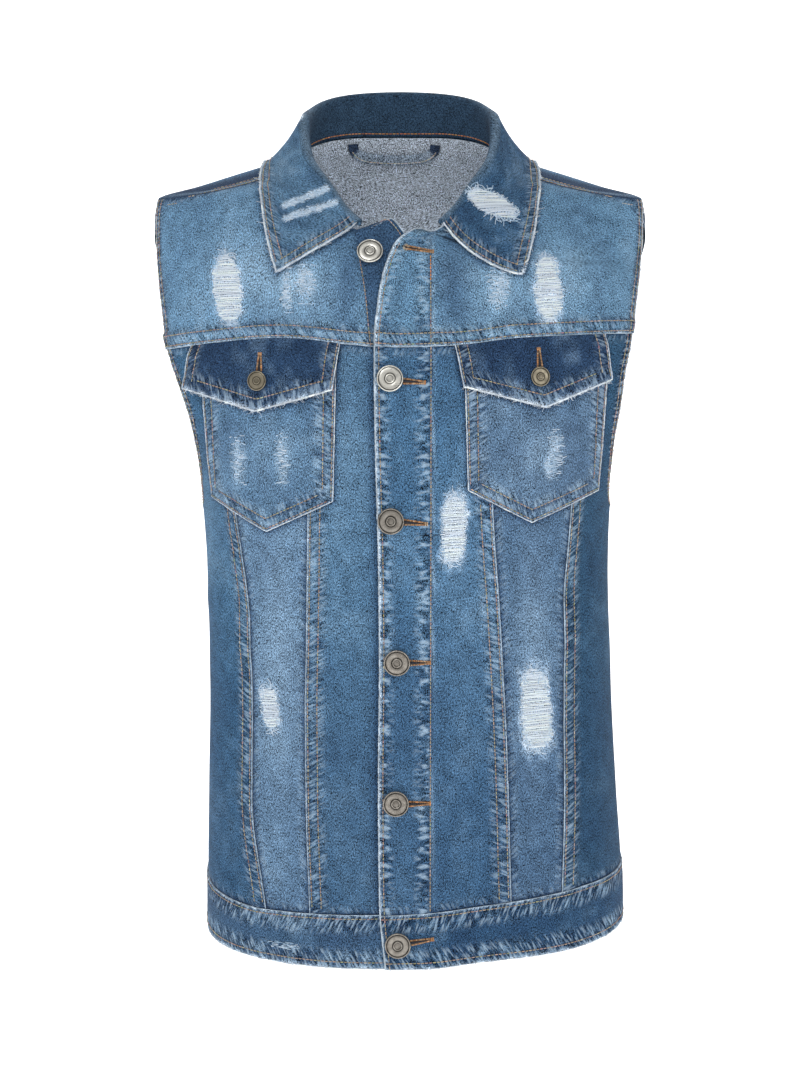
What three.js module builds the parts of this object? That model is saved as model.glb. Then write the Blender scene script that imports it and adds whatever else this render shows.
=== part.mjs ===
// A sleeveless denim vest in its worn form, hollow and open at the neck, the armholes and the hem.
// Millimetres, +Z up, the front faces -Y. The origin is on the neck's axis, level with the
// highest point of the shoulders, where the wearer's shoulders carry the vest.
// Names that end in _l and _r are on the wearer's left (+X) and right (-X).
import * as THREE from 'three';

// Colours, roughness and metalness of each material
const DENIM = new THREE.MeshStandardMaterial({ color: 0x4f7497, roughness: 0.9, metalness: 0 });
const DENIM_LIGHT = new THREE.MeshStandardMaterial({ color: 0x6f94b3, roughness: 0.9, metalness: 0 });
const DENIM_DARK = new THREE.MeshStandardMaterial({ color: 0x3b5979, roughness: 0.9, metalness: 0 });
const SILVER = new THREE.MeshStandardMaterial({ color: 0xd7d5cc, roughness: 0.3, metalness: 1 });
const BRONZE = new THREE.MeshStandardMaterial({ color: 0x857a68, roughness: 0.4, metalness: 1 });

// Thicknesses and gaps
const CLOTH = 1.4;
const DOUBLE_CLOTH = 2.4;
const HALF_SEAM_GAP = 0.15;
const LAYER_GAP = 0.8;
const BUTTON_GAP = 0.3;

// Raised forms: the lapped seams, the button stand, the yokes' lower edge and the hem band
const LAP = 0.8;
const YOKE_LAP = 1.6;
const BAND_RISE = 1.2;
const LAP_WIDTH = 12;

// The left front lies over the right one: how far out, and where that lift has died away
const FRONT_LIFT = 3.0;
const LIFT_FULL_X = 24;
const LIFT_END_X = 58;
const COVERED_X = -25;

// Heights and angles of the cut
const UNDERARM_Z = -292;
const SIDE_SEAM_TURN = 93;
const BACK_YOKE_Z = -148;
const SEAM_TOP_Z = -158;
const SEAM_LOW_Z = -600;
const BACK_SEAM_TOP_X = 108;
const BACK_SEAM_MIDDLE = { x: 83, z: -400 };
const BACK_SEAM_LOW = { x: 72, z: -588 };

// Rows above the underarm and below it, shared by every panel that meets at a vertical seam
const ROWS_ABOVE = 4;
const ROWS_BELOW = 7;
const UNDERARM_ROW = ROWS_ABOVE / (ROWS_ABOVE + ROWS_BELOW);

// Level sections of the worn vest, from the hem to the back of the neck: half width, front and back,
// the y of the widest place, the squareness of the outline, and how far the vest hangs to one side
const SECTIONS = [
  { z: -660, half: 173, front: -111, back: 118, widest: 0, square: 2.4, shift: 13 },
  { z: -600, half: 172, front: -111, back: 116, widest: 0, square: 2.4, shift: 12.5 },
  { z: -520, half: 168, front: -112, back: 110, widest: 0, square: 2.45, shift: 10.5 },
  { z: -420, half: 164, front: -115, back: 108, widest: 0, square: 2.5, shift: 8.5 },
  { z: -360, half: 164, front: -117, back: 112, widest: 0, square: 2.5, shift: 6.5 },
  { z: -285, half: 167, front: -118, back: 118, widest: 0, square: 2.5, shift: 5 },
  { z: -245, half: 174, front: -117, back: 122, widest: 0, square: 2.5, shift: 4 },
  { z: -200, half: 188, front: -114, back: 126, widest: 0, square: 2.5, shift: 3 },
  { z: -150, half: 198, front: -105, back: 127, widest: 0, square: 2.45, shift: 2 },
  { z: -110, half: 200, front: -92, back: 124, widest: 2, square: 2.3, shift: 1 },
  { z: -80, half: 199.5, front: -77, back: 119, widest: 3, square: 2.1, shift: 0 },
  { z: -60, half: 199, front: -64, back: 116, widest: 4, square: 1.9, shift: 0 },
  { z: -43, half: 197, front: -50, back: 112, widest: 6, square: 1.65, shift: 0 },
  { z: -32, half: 164, front: -40, back: 107, widest: 14, square: 1.5, shift: 0 },
  { z: -23, half: 138, front: -33, back: 103, widest: 22, square: 1.42, shift: 0 },
  { z: -14, half: 111, front: -25, back: 98, widest: 28, square: 1.4, shift: 0 },
  { z: 0, half: 76, front: -14, back: 90, widest: 34, square: 1.4, shift: 0 },
  { z: 17, half: 66, front: -5, back: 78, widest: 37, square: 1.45, shift: 0 },
];

// Soft folds of the worn cloth: a ridge or trough from one point to the other, seen from the front
const FOLDS = [
  { face: -1, x0: -44, z0: -85, x1: -50, z1: -150, width: 16, height: -2.0 },
  { face: -1, x0: -128, z0: -75, x1: -160, z1: -150, width: 24, height: 1.6 },
  { face: -1, x0: 47, z0: -85, x1: 60, z1: -150, width: 17, height: -1.8 },
  { face: -1, x0: 132, z0: -70, x1: 160, z1: -145, width: 24, height: 1.6 },
  { face: -1, x0: -148, z0: -300, x1: -92, z1: -390, width: 26, height: -2.2 },
  { face: -1, x0: 146, z0: -300, x1: 100, z1: -400, width: 26, height: -2.0 },
  { face: -1, x0: 58, z0: -330, x1: 66, z1: -560, width: 22, height: -2.2 },
  { face: -1, x0: -48, z0: -340, x1: -52, z1: -540, width: 22, height: -1.6 },
  { face: -1, x0: -150, z0: -430, x1: -140, z1: -570, width: 26, height: 2.0 },
  { face: -1, x0: 152, z0: -420, x1: 150, z1: -560, width: 26, height: 2.0 },
  { face: 1, x0: -60, z0: -40, x1: -130, z1: -120, width: 26, height: 1.6 },
  { face: 1, x0: 60, z0: -40, x1: 130, z1: -120, width: 26, height: 1.6 },
  { face: 1, x0: -140, z0: -290, x1: -70, z1: -390, width: 28, height: -2.4 },
  { face: 1, x0: 145, z0: -290, x1: 80, z1: -380, width: 28, height: -2.2 },
  { face: 1, x0: -20, z0: -330, x1: 0, z1: -560, width: 30, height: -2.0 },
  { face: 1, x0: 110, z0: -420, x1: 120, z1: -580, width: 26, height: 2.0 },
  { face: 1, x0: -100, z0: -430, x1: -96, z1: -580, width: 26, height: 2.0 },
];

// The neck seam from the middle of the back to the front: angle about the neck and height
const NECK = [
  { turn: 8.8, z: -70 },
  { turn: 13.2, z: -61 },
  { turn: 18.2, z: -45 },
  { turn: 31, z: -27 },
  { turn: 44.8, z: -15 },
  { turn: 62, z: -5.5 },
  { turn: 90, z: 0 },
  { turn: 105, z: 3.5 },
  { turn: 125, z: 8.5 },
  { turn: 150, z: 12.5 },
  { turn: 180, z: 14 },
];

// The shoulder seam, from the neck to the shoulder's tip
const SHOULDER_SEAM = [
  { x: 80, z: -15 },
  { x: 113, z: -29 },
  { x: 136, z: -35.5 },
  { x: 161, z: -40.5 },
  { x: 196, z: -44 },
];

// The neck seam's front end and the front's free edge, from the neck to the hem, on each front
const FRONT_NECK = {
  r: [
    { x: -45, z: -62.5 }, { x: -38, z: -68.5 }, { x: -30, z: -72 }, { x: -18, z: -68 },
    { x: -7, z: -61.5 },
  ],
  l: [{ x: 45, z: -61 }, { x: 31, z: -71.5 }, { x: 23, z: -74.5 }, { x: 14.5, z: -71.5 }],
};
const FRONT_EDGE = {
  r: [
    { z: -647, x: 22 }, { z: -600, x: 22 }, { z: -300, x: 20 }, { z: -160, x: 18 },
    { z: -115, x: 14 }, { z: -90, x: 9 }, { z: -74, x: 3 }, { z: -61.5, x: -7 },
  ],
  l: [
    { z: -647, x: -11 }, { z: -593, x: -15.6 }, { z: -497, x: -16.3 }, { z: -402, x: -15.4 },
    { z: -324, x: -16.1 }, { z: -240, x: -18.3 }, { z: -160, x: -19.3 }, { z: -130, x: -16.8 },
    { z: -106, x: -12.3 }, { z: -92, x: -7.7 }, { z: -83, x: -3 }, { z: -76, x: 4.6 },
    { z: -71.5, x: 14.5 },
  ],
};

// The front seams by height: the side and inner seam of each front
const FRONT_SEAMS = [
  { z: -650, side_r: -103, inner_r: -70, inner_l: 88, side_l: 128 },
  { z: -605, side_r: -106.5, inner_r: -70.8, inner_l: 87.3, side_l: 128 },
  { z: -520, side_r: -116.5, inner_r: -73.5, inner_l: 85, side_l: 129 },
  { z: -440, side_r: -115.5, inner_r: -73.7, inner_l: 81.6, side_l: 128 },
  { z: -360, side_r: -120.3, inner_r: -72, inner_l: 76.6, side_l: 129.5 },
  { z: -290, side_r: -129, inner_r: -70.5, inner_l: 71.3, side_l: 134 },
  { z: -155, side_r: -139, inner_r: -67, inner_l: 66, side_l: 141 },
];

// The front yokes' lower seam, by place across the front
const FRONT_YOKE = [
  { x: -190, z: -164.5 },
  { x: -155, z: -160.5 },
  { x: -92, z: -155.5 },
  { x: -23, z: -161.5 },
  { x: 0, z: -163 },
  { x: 30, z: -162 },
  { x: 92, z: -155.5 },
  { x: 155, z: -152.5 },
  { x: 190, z: -151.3 },
];

// The armholes' edges below the shoulder's tip: on the front down to the yoke and then to the underarm
const ARMHOLE_YOKE = {
  r: [
    { x: -196, z: -44 }, { x: -197, z: -62 }, { x: -196, z: -80 }, { x: -194, z: -101 },
    { x: -188.5, z: -138 }, { x: -184, z: -164 },
  ],
  l: [
    { x: 196, z: -44 }, { x: 196, z: -60 }, { x: 194.5, z: -80 }, { x: 191.5, z: -101 },
    { x: 186, z: -132 }, { x: 182.5, z: -151.4 },
  ],
};
const ARMHOLE_SIDE = {
  r: [
    { x: -184, z: -164 }, { x: -176.5, z: -188 }, { x: -168, z: -212 }, { x: -163, z: -236 },
    { x: -160, z: -260 }, { x: -160.5, z: -280 },
  ],
  l: [
    { x: 182.5, z: -151.4 }, { x: 177.5, z: -180 }, { x: 172.5, z: -218 }, { x: 169, z: -250 },
    { x: 168, z: -270 }, { x: 169, z: -284 },
  ],
};
const ARMHOLE_BOTTOM = [{ turn: 85, z: -291 }, { turn: SIDE_SEAM_TURN, z: UNDERARM_Z }];

// The armholes' edges on the back, as angles about the body, from the shoulder's tip to the underarm
const ARMHOLE_BACK = [
  { turn: 84, z: -44 }, { turn: 92, z: -57 }, { turn: 101, z: -80 }, { turn: 107, z: -112 },
  { turn: 109, z: -150 }, { turn: 109, z: -200 }, { turn: 105, z: -245 }, { turn: 99, z: -277 },
  { turn: SIDE_SEAM_TURN, z: UNDERARM_Z },
];

// The hem band's top seam and lower edge by angle about the body
const HEM = [
  { turn: -180, top: -588, bottom: -632 },
  { turn: -93, top: -591, bottom: -636 },
  { turn: -71, top: -600, bottom: -643 },
  { turn: -46, top: -606, bottom: -646.5 },
  { turn: -21, top: -605.5, bottom: -648 },
  { turn: 0, top: -603, bottom: -647 },
  { turn: 22, top: -597, bottom: -642 },
  { turn: 42, top: -592, bottom: -639.5 },
  { turn: 60, top: -588, bottom: -636 },
  { turn: 93, top: -584, bottom: -630 },
  { turn: 180, top: -588, bottom: -632 },
];

// Corners of the breast pockets and their flaps: outer and inner sides, and the point between them
const POCKETS = {
  r: {
    outerTop: [-154, -176], innerTop: [-48.5, -172],
    outerLow: [-149, -280.5], tip: [-103, -304], innerLow: [-51, -279.3],
  },
  l: {
    outerTop: [161, -170], innerTop: [49, -172],
    outerLow: [156, -274.6], tip: [101, -296.5], innerLow: [52, -271],
  },
};
const FLAPS = {
  r: {
    outerTop: [-161, -161.5], innerTop: [-45.7, -159.6],
    outerLow: [-166.5, -193.5], tip: [-109, -211], innerLow: [-51, -195],
  },
  l: {
    outerTop: [157.5, -152.3], innerTop: [42, -161],
    outerLow: [161.5, -187], tip: [109.6, -208], innerLow: [48, -192.5],
  },
};

// The collar from the middle of the back to its front end: where it leaves the neck seam, the roll
// line that it folds over, how round the roll is, and the fall's outer edge
const COLLAR = [
  { turn: 180, roll: [0, 80, 52], radius: 3.6, edge: [0, 104, -14] },
  { turn: 150, roll: [37, 74, 49.5], radius: 3.6, edge: [50, 98, -15] },
  { turn: 125, roll: [61, 58, 43], radius: 3.6, edge: [88, 78, -16] },
  { turn: 100, roll: [73, 34, 33], radius: 3.5, edge: [106, 46, -13] },
  { turn: 70, roll: [77, 8, 24], radius: 3.4, edge: [111, 14, -17] },
  { turn: 50, roll: [76, -7, 8], radius: 3.2, edge: [111, -12, -33] },
  { turn: 33, roll: [70, -26, -12], radius: 3.0, edge: [108, -42, -52] },
  { turn: 21, roll: [54, -45, -34], radius: 2.6, edge: [104, -62, -74] },
  { turn: 13.2, roll: [42, -60, -52], radius: 2.2, edge: [99, -78, -94] },
  { turn: 9, roll: [32, -70.5, -63], radius: 1.9, edge: [95.5, -86, -105] },
];
const COLLAR_WALL = 2.4;
const COLLAR_COLUMNS = 40;

// The hanger loop inside the back of the neck, as places across and down
const LOOP_PATH = [[-41, 8], [-40, 3], [-33, -1], [-20, -2.5], [10, -2.5], [23, -1], [30, 3], [31, 8]];
const LOOP_WIDTH = 8;
const LOOP_WALL = 1.6;
const LOOP_GAP = 1.3;

// Buttons: place on the front, and how far the layers below it stand out
const BUTTONS = [
  { name: 'button_1', x: -23, z: -90.5, base: 0, lifted: false, metal: SILVER },
  { name: 'button_2', x: -7.6, z: -187, base: LAP, lifted: true, metal: SILVER },
  { name: 'button_3', x: -6.9, z: -294, base: LAP, lifted: true, metal: BRONZE },
  { name: 'button_4', x: -2.3, z: -403, base: LAP, lifted: true, metal: BRONZE },
  { name: 'button_5', x: -3.1, z: -514, base: LAP, lifted: true, metal: BRONZE },
  { name: 'button_6', x: -1.6, z: -627, base: BAND_RISE, lifted: true, metal: BRONZE },
];
const BUTTON_RADIUS = 10.2;
const FLAP_BUTTONS = [
  { name: 'flap_button_r', side: 'r', x: -107, z: -188.5 },
  { name: 'flap_button_l', side: 'l', x: 105, z: -185.5 },
];
const FLAP_BUTTON_RADIUS = 7.6;
const FLAP_BUTTON_SHARE = 0.6;

const RADIANS = Math.PI / 180;

const mix = (a, b, t) => a + (b - a) * t;
const clamp = (value, low, high) => Math.min(high, Math.max(low, value));

// A smooth step from 0 at one value to 1 at the other
function ease(from, to, value) {
  const t = clamp((value - from) / (to - from), 0, 1);
  return t * t * (3 - 2 * t);
}

// A smooth curve with no overshoot through the rows of a table, one column against another
function curveOf(rows, key, column) {
  const at = rows.map((row) => row[key]);
  const value = rows.map((row) => row[column]);
  const span = at.slice(1).map((a, i) => a - at[i]);
  const rise = span.map((s, i) => (value[i + 1] - value[i]) / s);
  const slope = at.map((_, i) => {
    if (i === 0) return rise[0];
    if (i === rise.length) return rise[i - 1];
    if (rise[i - 1] * rise[i] <= 0) return 0;
    const before = 2 * span[i] + span[i - 1];
    const after = span[i] + 2 * span[i - 1];
    return (before + after) / (before / rise[i - 1] + after / rise[i]);
  });
  return (wanted) => {
    const where = clamp(wanted, at[0], at[at.length - 1]);
    let i = 0;
    while (i < span.length - 1 && where > at[i + 1]) i += 1;
    const t = (where - at[i]) / span[i];
    const u = 1 - t;
    return u * u * (1 + 2 * t) * value[i] + t * u * u * span[i] * slope[i]
      + t * t * (3 - 2 * t) * value[i + 1] - t * t * u * span[i] * slope[i + 1];
  };
}

const SECTION_CURVES = Object.fromEntries(
  ['half', 'front', 'back', 'widest', 'square', 'shift'].map((name) => [name, curveOf(SECTIONS, 'z', name)]),
);

function sectionAt(z) {
  return Object.fromEntries(Object.entries(SECTION_CURVES).map(([name, curve]) => [name, curve(z)]));
}

const neckHeight = curveOf(NECK, 'turn', 'z');
const yokeHeight = curveOf(FRONT_YOKE, 'x', 'z');
const shoulderHeight = curveOf(SHOULDER_SEAM, 'x', 'z');
const bandTop = curveOf(HEM, 'turn', 'top');
const hemEdge = curveOf(HEM, 'turn', 'bottom');

// Angle about the body of a point of the front at this x and height, and of the back
function frontTurn(x, z) {
  const section = sectionAt(z);
  return Math.asin(clamp((x - section.shift) / section.half, -1, 1)) / RADIANS;
}

function backTurn(x, z) {
  return 180 - frontTurn(x, z);
}

// The hollow body that the cloth follows: under 1 inside, 1 on it, over 1 outside
function fullness(point) {
  const section = sectionAt(point.z);
  const across = Math.abs(point.x - section.shift) / section.half;
  const y = point.y - section.widest;
  const deep = Math.abs(y) / (y < 0 ? section.widest - section.front : section.back - section.widest);
  return across ** section.square + deep ** section.square;
}

const PROBE = 0.4;

function fullnessSlope(point) {
  const slope = new THREE.Vector3();
  for (const axis of ['x', 'y', 'z']) {
    const ahead = point.clone();
    const behind = point.clone();
    ahead[axis] += PROBE;
    behind[axis] -= PROBE;
    slope[axis] = (fullness(ahead) - fullness(behind)) / (2 * PROBE);
  }
  return slope;
}

function bodyPoint(turn, z) {
  const section = sectionAt(z);
  const sine = Math.sin(turn * RADIANS);
  const depth = (1 - Math.abs(sine) ** section.square) ** (1 / section.square);
  const end = Math.cos(turn * RADIANS) > 0 ? section.front : section.back;
  const reach = end - section.widest;
  return new THREE.Vector3(section.shift + section.half * sine, section.widest + reach * depth, z);
}

// Height of the soft folds at a point: they fade out near the sides and past their ends
const FOLD_FADE_Y = 40;
const FOLD_END_SPREAD = 1.3;

function foldHeight(point) {
  let height = 0;
  for (const fold of FOLDS) {
    const side = ease(0, FOLD_FADE_Y, point.y * fold.face);
    const alongX = fold.x1 - fold.x0;
    const alongZ = fold.z1 - fold.z0;
    const length = Math.hypot(alongX, alongZ);
    const along = ((point.x - fold.x0) * alongX + (point.z - fold.z0) * alongZ) / length;
    const off = ((point.x - fold.x0) * alongZ - (point.z - fold.z0) * alongX) / length;
    const past = Math.max(0, -along, along - length);
    const near = (off / fold.width) ** 2 + (past / (FOLD_END_SPREAD * fold.width)) ** 2;
    height += side * fold.height * Math.exp(-near);
  }
  return height;
}

// A point of the cloth, moved out from the body along its normal
function clothPoint(turn, z, out) {
  const point = bodyPoint(turn, z);
  const normal = fullnessSlope(point).normalize();
  return point.addScaledVector(normal, out + foldHeight(point));
}

// How far the left front is lifted over the right one at this x
function leftLift(x) {
  return FRONT_LIFT * (1 - ease(LIFT_FULL_X, LIFT_END_X, x));
}

// Closed wall between two grids of points with the same rows and columns
function wallGeometry(outer, inner) {
  const rows = outer.length;
  const columns = outer[0].length;
  const positions = [...outer.flat(), ...inner.flat()].flatMap((point) => [point.x, point.y, point.z]);
  const indices = [];
  const outerAt = (row, column) => row * columns + column;
  const innerAt = (row, column) => rows * columns + row * columns + column;
  const quad = (a, b, c, d) => indices.push(a, b, c, a, c, d);
  for (let row = 0; row < rows - 1; row += 1) {
    for (let column = 0; column < columns - 1; column += 1) {
      const below = row + 1;
      const beside = column + 1;
      quad(outerAt(row, column), outerAt(below, column), outerAt(below, beside), outerAt(row, beside));
      quad(innerAt(row, column), innerAt(row, beside), innerAt(below, beside), innerAt(below, column));
    }
  }
  for (let column = 0; column < columns - 1; column += 1) {
    quad(outerAt(0, column), outerAt(0, column + 1), innerAt(0, column + 1), innerAt(0, column));
    const last = rows - 1;
    quad(outerAt(last, column + 1), outerAt(last, column), innerAt(last, column), innerAt(last, column + 1));
  }
  for (let row = 0; row < rows - 1; row += 1) {
    quad(outerAt(row + 1, 0), outerAt(row, 0), innerAt(row, 0), innerAt(row + 1, 0));
    const last = columns - 1;
    quad(outerAt(row, last), outerAt(row + 1, last), innerAt(row + 1, last), innerAt(row, last));
  }
  const geometry = new THREE.BufferGeometry();
  geometry.setAttribute('position', new THREE.Float32BufferAttribute(positions, 3));
  geometry.setIndex(indices);
  geometry.computeVertexNormals();
  return geometry;
}

// Even fractions from 0 to 1
function fractions(count) {
  return Array.from({ length: count + 1 }, (_, i) => i / count);
}

// Pull the border of a grid of [turn, z] places in by half a seam gap
const LEAST_ACROSS = 0.4;

function insetBorder(places) {
  const body = (place) => bodyPoint(place[0], place[1]);
  const pull = (line, next) => line.map((place, i) => {
    const here = body(place);
    const before = body(line[Math.max(0, i - 1)]);
    const after = body(line[Math.min(line.length - 1, i + 1)]);
    const inward = body(next[i]).sub(here);
    const distance = inward.length();
    const across = inward.clone().normalize().cross(after.sub(before).normalize()).length();
    const share = HALF_SEAM_GAP / (distance * Math.max(across, LEAST_ACROSS));
    return [mix(place[0], next[i][0], share), mix(place[1], next[i][1], share)];
  });
  const columnOf = (grid, column) => grid.map((row) => row[column]);
  const grid = places.map((row) => [...row]);
  const lastRow = grid.length - 1;
  const lastColumn = grid[0].length - 1;
  const first = pull(columnOf(places, 0), columnOf(places, 1));
  const last = pull(columnOf(places, lastColumn), columnOf(places, lastColumn - 1));
  grid.forEach((row, i) => {
    row[0] = first[i];
    row[lastColumn] = last[i];
  });
  const top = pull(grid[0], grid[1]);
  const bottom = pull(grid[lastRow], grid[lastRow - 1]);
  grid[0] = top;
  grid[lastRow] = bottom;
  return grid;
}

// A panel from a grid of [turn, z] places: each outer point stands out as outAt says
function panelGeometry(places, outAt, wallAt) {
  const grid = insetBorder(places);
  const points = (depthAt) => grid.map((row, i) => row.map(([turn, z], j) => {
    const x = bodyPoint(turn, z).x;
    return clothPoint(turn, z, outAt(i, j, x) - depthAt(i, j, x));
  }));
  return wallGeometry(points(() => 0), points(wallAt));
}

// Places inside four border curves, each from 0 to 1
function coonsPlaces(top, bottom, left, right, acrossList, downList) {
  return downList.map((v) => acrossList.map((u) => [0, 1].map((k) => (
    mix(top(u)[k], bottom(u)[k], v) + mix(left(v)[k], right(v)[k], u)
    - mix(mix(top(0)[k], top(1)[k], u), mix(bottom(0)[k], bottom(1)[k], u), v)
  ))));
}

// A smooth curve through [turn, z] places, evenly spaced along its length
const MM_PER_TURN = 2.5;

function curveThrough(places) {
  const points = places.map(([turn, z]) => new THREE.Vector3(turn * MM_PER_TURN, z, 0));
  const curve = new THREE.CatmullRomCurve3(points, false, 'centripetal');
  return (share) => {
    const point = curve.getPointAt(clamp(share, 0, 1));
    return [point.x / MM_PER_TURN, point.y];
  };
}

// Two curves one after the other, which meet at this share of the whole
function joinCurves(first, second, meeting) {
  return (share) => (share <= meeting ? first(share / meeting) : second((share - meeting) / (1 - meeting)));
}

const frontPlaces = (rows) => rows.map(({ x, z }) => [frontTurn(x, z), z]);

// The x of a front seam or free edge by height
const SEAM_X = {
  side_r: curveOf(FRONT_SEAMS, 'z', 'side_r'),
  inner_r: curveOf(FRONT_SEAMS, 'z', 'inner_r'),
  inner_l: curveOf(FRONT_SEAMS, 'z', 'inner_l'),
  side_l: curveOf(FRONT_SEAMS, 'z', 'side_l'),
  edge_r: curveOf(FRONT_EDGE.r, 'z', 'x'),
  edge_l: curveOf(FRONT_EDGE.l, 'z', 'x'),
};

// Height at a share of the way down a seam, with the underarm's level on its own row
function seamHeight(top, bottom, share) {
  if (share < UNDERARM_ROW) return mix(top, UNDERARM_Z, share / UNDERARM_ROW);
  return mix(UNDERARM_Z, bottom, (share - UNDERARM_ROW) / (1 - UNDERARM_ROW));
}

// A front seam from the yoke down to the hem band
function frontSeam(name) {
  const seamX = SEAM_X[name];
  const top = yokeHeight(seamX(SEAM_TOP_Z));
  const bottom = bandTop(frontTurn(seamX(SEAM_LOW_Z), SEAM_LOW_Z));
  return (share) => {
    const z = seamHeight(top, bottom, share);
    return [frontTurn(seamX(z), z), z];
  };
}

// The side seam below the underarm; sign is 1 on the wearer's left
function sideSeam(sign) {
  const turn = sign * SIDE_SEAM_TURN;
  return (share) => [turn, mix(UNDERARM_Z, bandTop(turn), share)];
}

const mirrored = (places, sign) => places.map(({ turn, z }) => [turn * sign, z]);

// Border of the side panel: the armhole, then the side seam
function frontOuterBorder(side, sign) {
  const armhole = curveThrough([...frontPlaces(ARMHOLE_SIDE[side]), ...mirrored(ARMHOLE_BOTTOM, sign)]);
  return joinCurves(armhole, sideSeam(sign), UNDERARM_ROW);
}

const SIDES = [
  { side: 'r', sign: -1 },
  { side: 'l', sign: 1 },
];
const DOWN = fractions(ROWS_ABOVE + ROWS_BELOW);
const liftOf = (side, x) => (side === 'l' ? leftLift(x) : 0);
// Raised forms of the right front end where the left front covers it
const showing = (side, x) => (side === 'r' && x > COVERED_X ? 0 : 1);

const group = new THREE.Group();

function addPiece(name, geometry, material) {
  const mesh = new THREE.Mesh(geometry, material);
  mesh.name = name;
  group.add(mesh);
  return mesh;
}

// Panels run from left to right as seen from outside: swap the ends on the wearer's right
function ordered(sign, inner, outer) {
  return sign > 0 ? [inner, outer] : [outer, inner];
}

// The front panels below the yoke: centre with the button stand, middle, and side
const CENTRE_ACROSS = [0, 0.13, 0.26, 0.39, 0.405, 0.55, 0.7, 0.845, 0.86, 1];
const CENTRE_RAISED = [1, 1, 1, 1, 0, 0, 0, 0, 1, 1];
const STAND_COLUMNS = 4;
const MIDDLE_COLUMNS = 4;
const SIDE_ACROSS = [0, 0.13, 0.145, 0.28, 0.42, 0.56, 0.7, 0.8, 0.9, 1];
const SIDE_RAISED = [1, 1, 0, 0, 0, 0, 0, 0, 0, 0];

function fromOutside(sign, list) {
  return sign > 0 ? list : [...list].reverse();
}

function fromOutsideShares(sign, list) {
  return sign > 0 ? list : [...list].reverse().map((share) => 1 - share);
}

// Places of a front panel between two seams, under the yoke's seam and above the hem band's
function lowerPlaces(left, right, acrossList) {
  const bodyX = ([turn, z]) => bodyPoint(turn, z).x;
  const top = (share) => {
    const x = mix(bodyX(left(0)), bodyX(right(0)), share);
    const z = yokeHeight(x);
    return [frontTurn(x, z), z];
  };
  const bottom = (share) => {
    const turn = mix(left(1)[0], right(1)[0], share);
    return [turn, bandTop(turn)];
  };
  return coonsPlaces(top, bottom, left, right, acrossList, DOWN);
}

function addFrontPanels({ side, sign }) {
  const edge = frontSeam(`edge_${side}`);
  const inner = frontSeam(`inner_${side}`);
  const outer = frontSeam(`side_${side}`);
  const border = frontOuterBorder(side, sign);
  const belowArm = (row) => (row > ROWS_ABOVE ? 1 : 0);

  const flatStand = (raised, column) => (column < STAND_COLUMNS ? 0 : raised);
  const stand = side === 'l' ? CENTRE_RAISED : CENTRE_RAISED.map(flatStand);
  const centreRaised = fromOutside(sign, stand);
  const centre = lowerPlaces(...ordered(sign, edge, inner), fromOutsideShares(sign, CENTRE_ACROSS));
  const fromEdge = (column) => (sign > 0 ? column : CENTRE_ACROSS.length - 1 - column);
  const isStand = (column) => fromEdge(column) < STAND_COLUMNS;
  addPiece(`front_centre_${side}`, panelGeometry(
    centre,
    (row, column, x) => liftOf(side, x) + LAP * centreRaised[column] * (isStand(column) ? 1 : belowArm(row)),
    (row, column) => (isStand(column) ? DOUBLE_CLOTH : CLOTH + LAP * centreRaised[column] * belowArm(row)),
  ), DENIM);

  const middle = lowerPlaces(...ordered(sign, inner, outer), fractions(MIDDLE_COLUMNS));
  addPiece(
    `front_middle_${side}`,
    panelGeometry(middle, (row, column, x) => liftOf(side, x), () => CLOTH),
    DENIM_LIGHT,
  );

  const sideRaised = fromOutside(sign, SIDE_RAISED);
  const sidePlaces = lowerPlaces(...ordered(sign, outer, border), fromOutsideShares(sign, SIDE_ACROSS));
  addPiece(`front_side_${side}`, panelGeometry(
    sidePlaces,
    (row, column) => LAP * sideRaised[column] * belowArm(row),
    (row, column) => CLOTH + LAP * sideRaised[column] * belowArm(row),
  ), DENIM);
}

// The shoulder seam from the neck to the tip, shared by the front and back yokes
function shoulderSeam(sign) {
  return (share) => {
    const x = sign * mix(SHOULDER_SEAM[0].x, SHOULDER_SEAM[SHOULDER_SEAM.length - 1].x, share);
    const z = shoulderHeight(Math.abs(x));
    return [frontTurn(x, z), z];
  };
}

// The front yokes, whose inner border is the free edge and then the neck seam
const NECK_SHARE = 0.56;
const LAP_SHARE = 0.943;
const YOKE_DOWN = [...fractions(9).map((share) => share * NECK_SHARE), 0.66, 0.76, 0.85, 0.937, LAP_SHARE, 1];
const YOKE_ACROSS = fractions(11);
const NECK_TURNS = [36, 27, 20];

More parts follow.
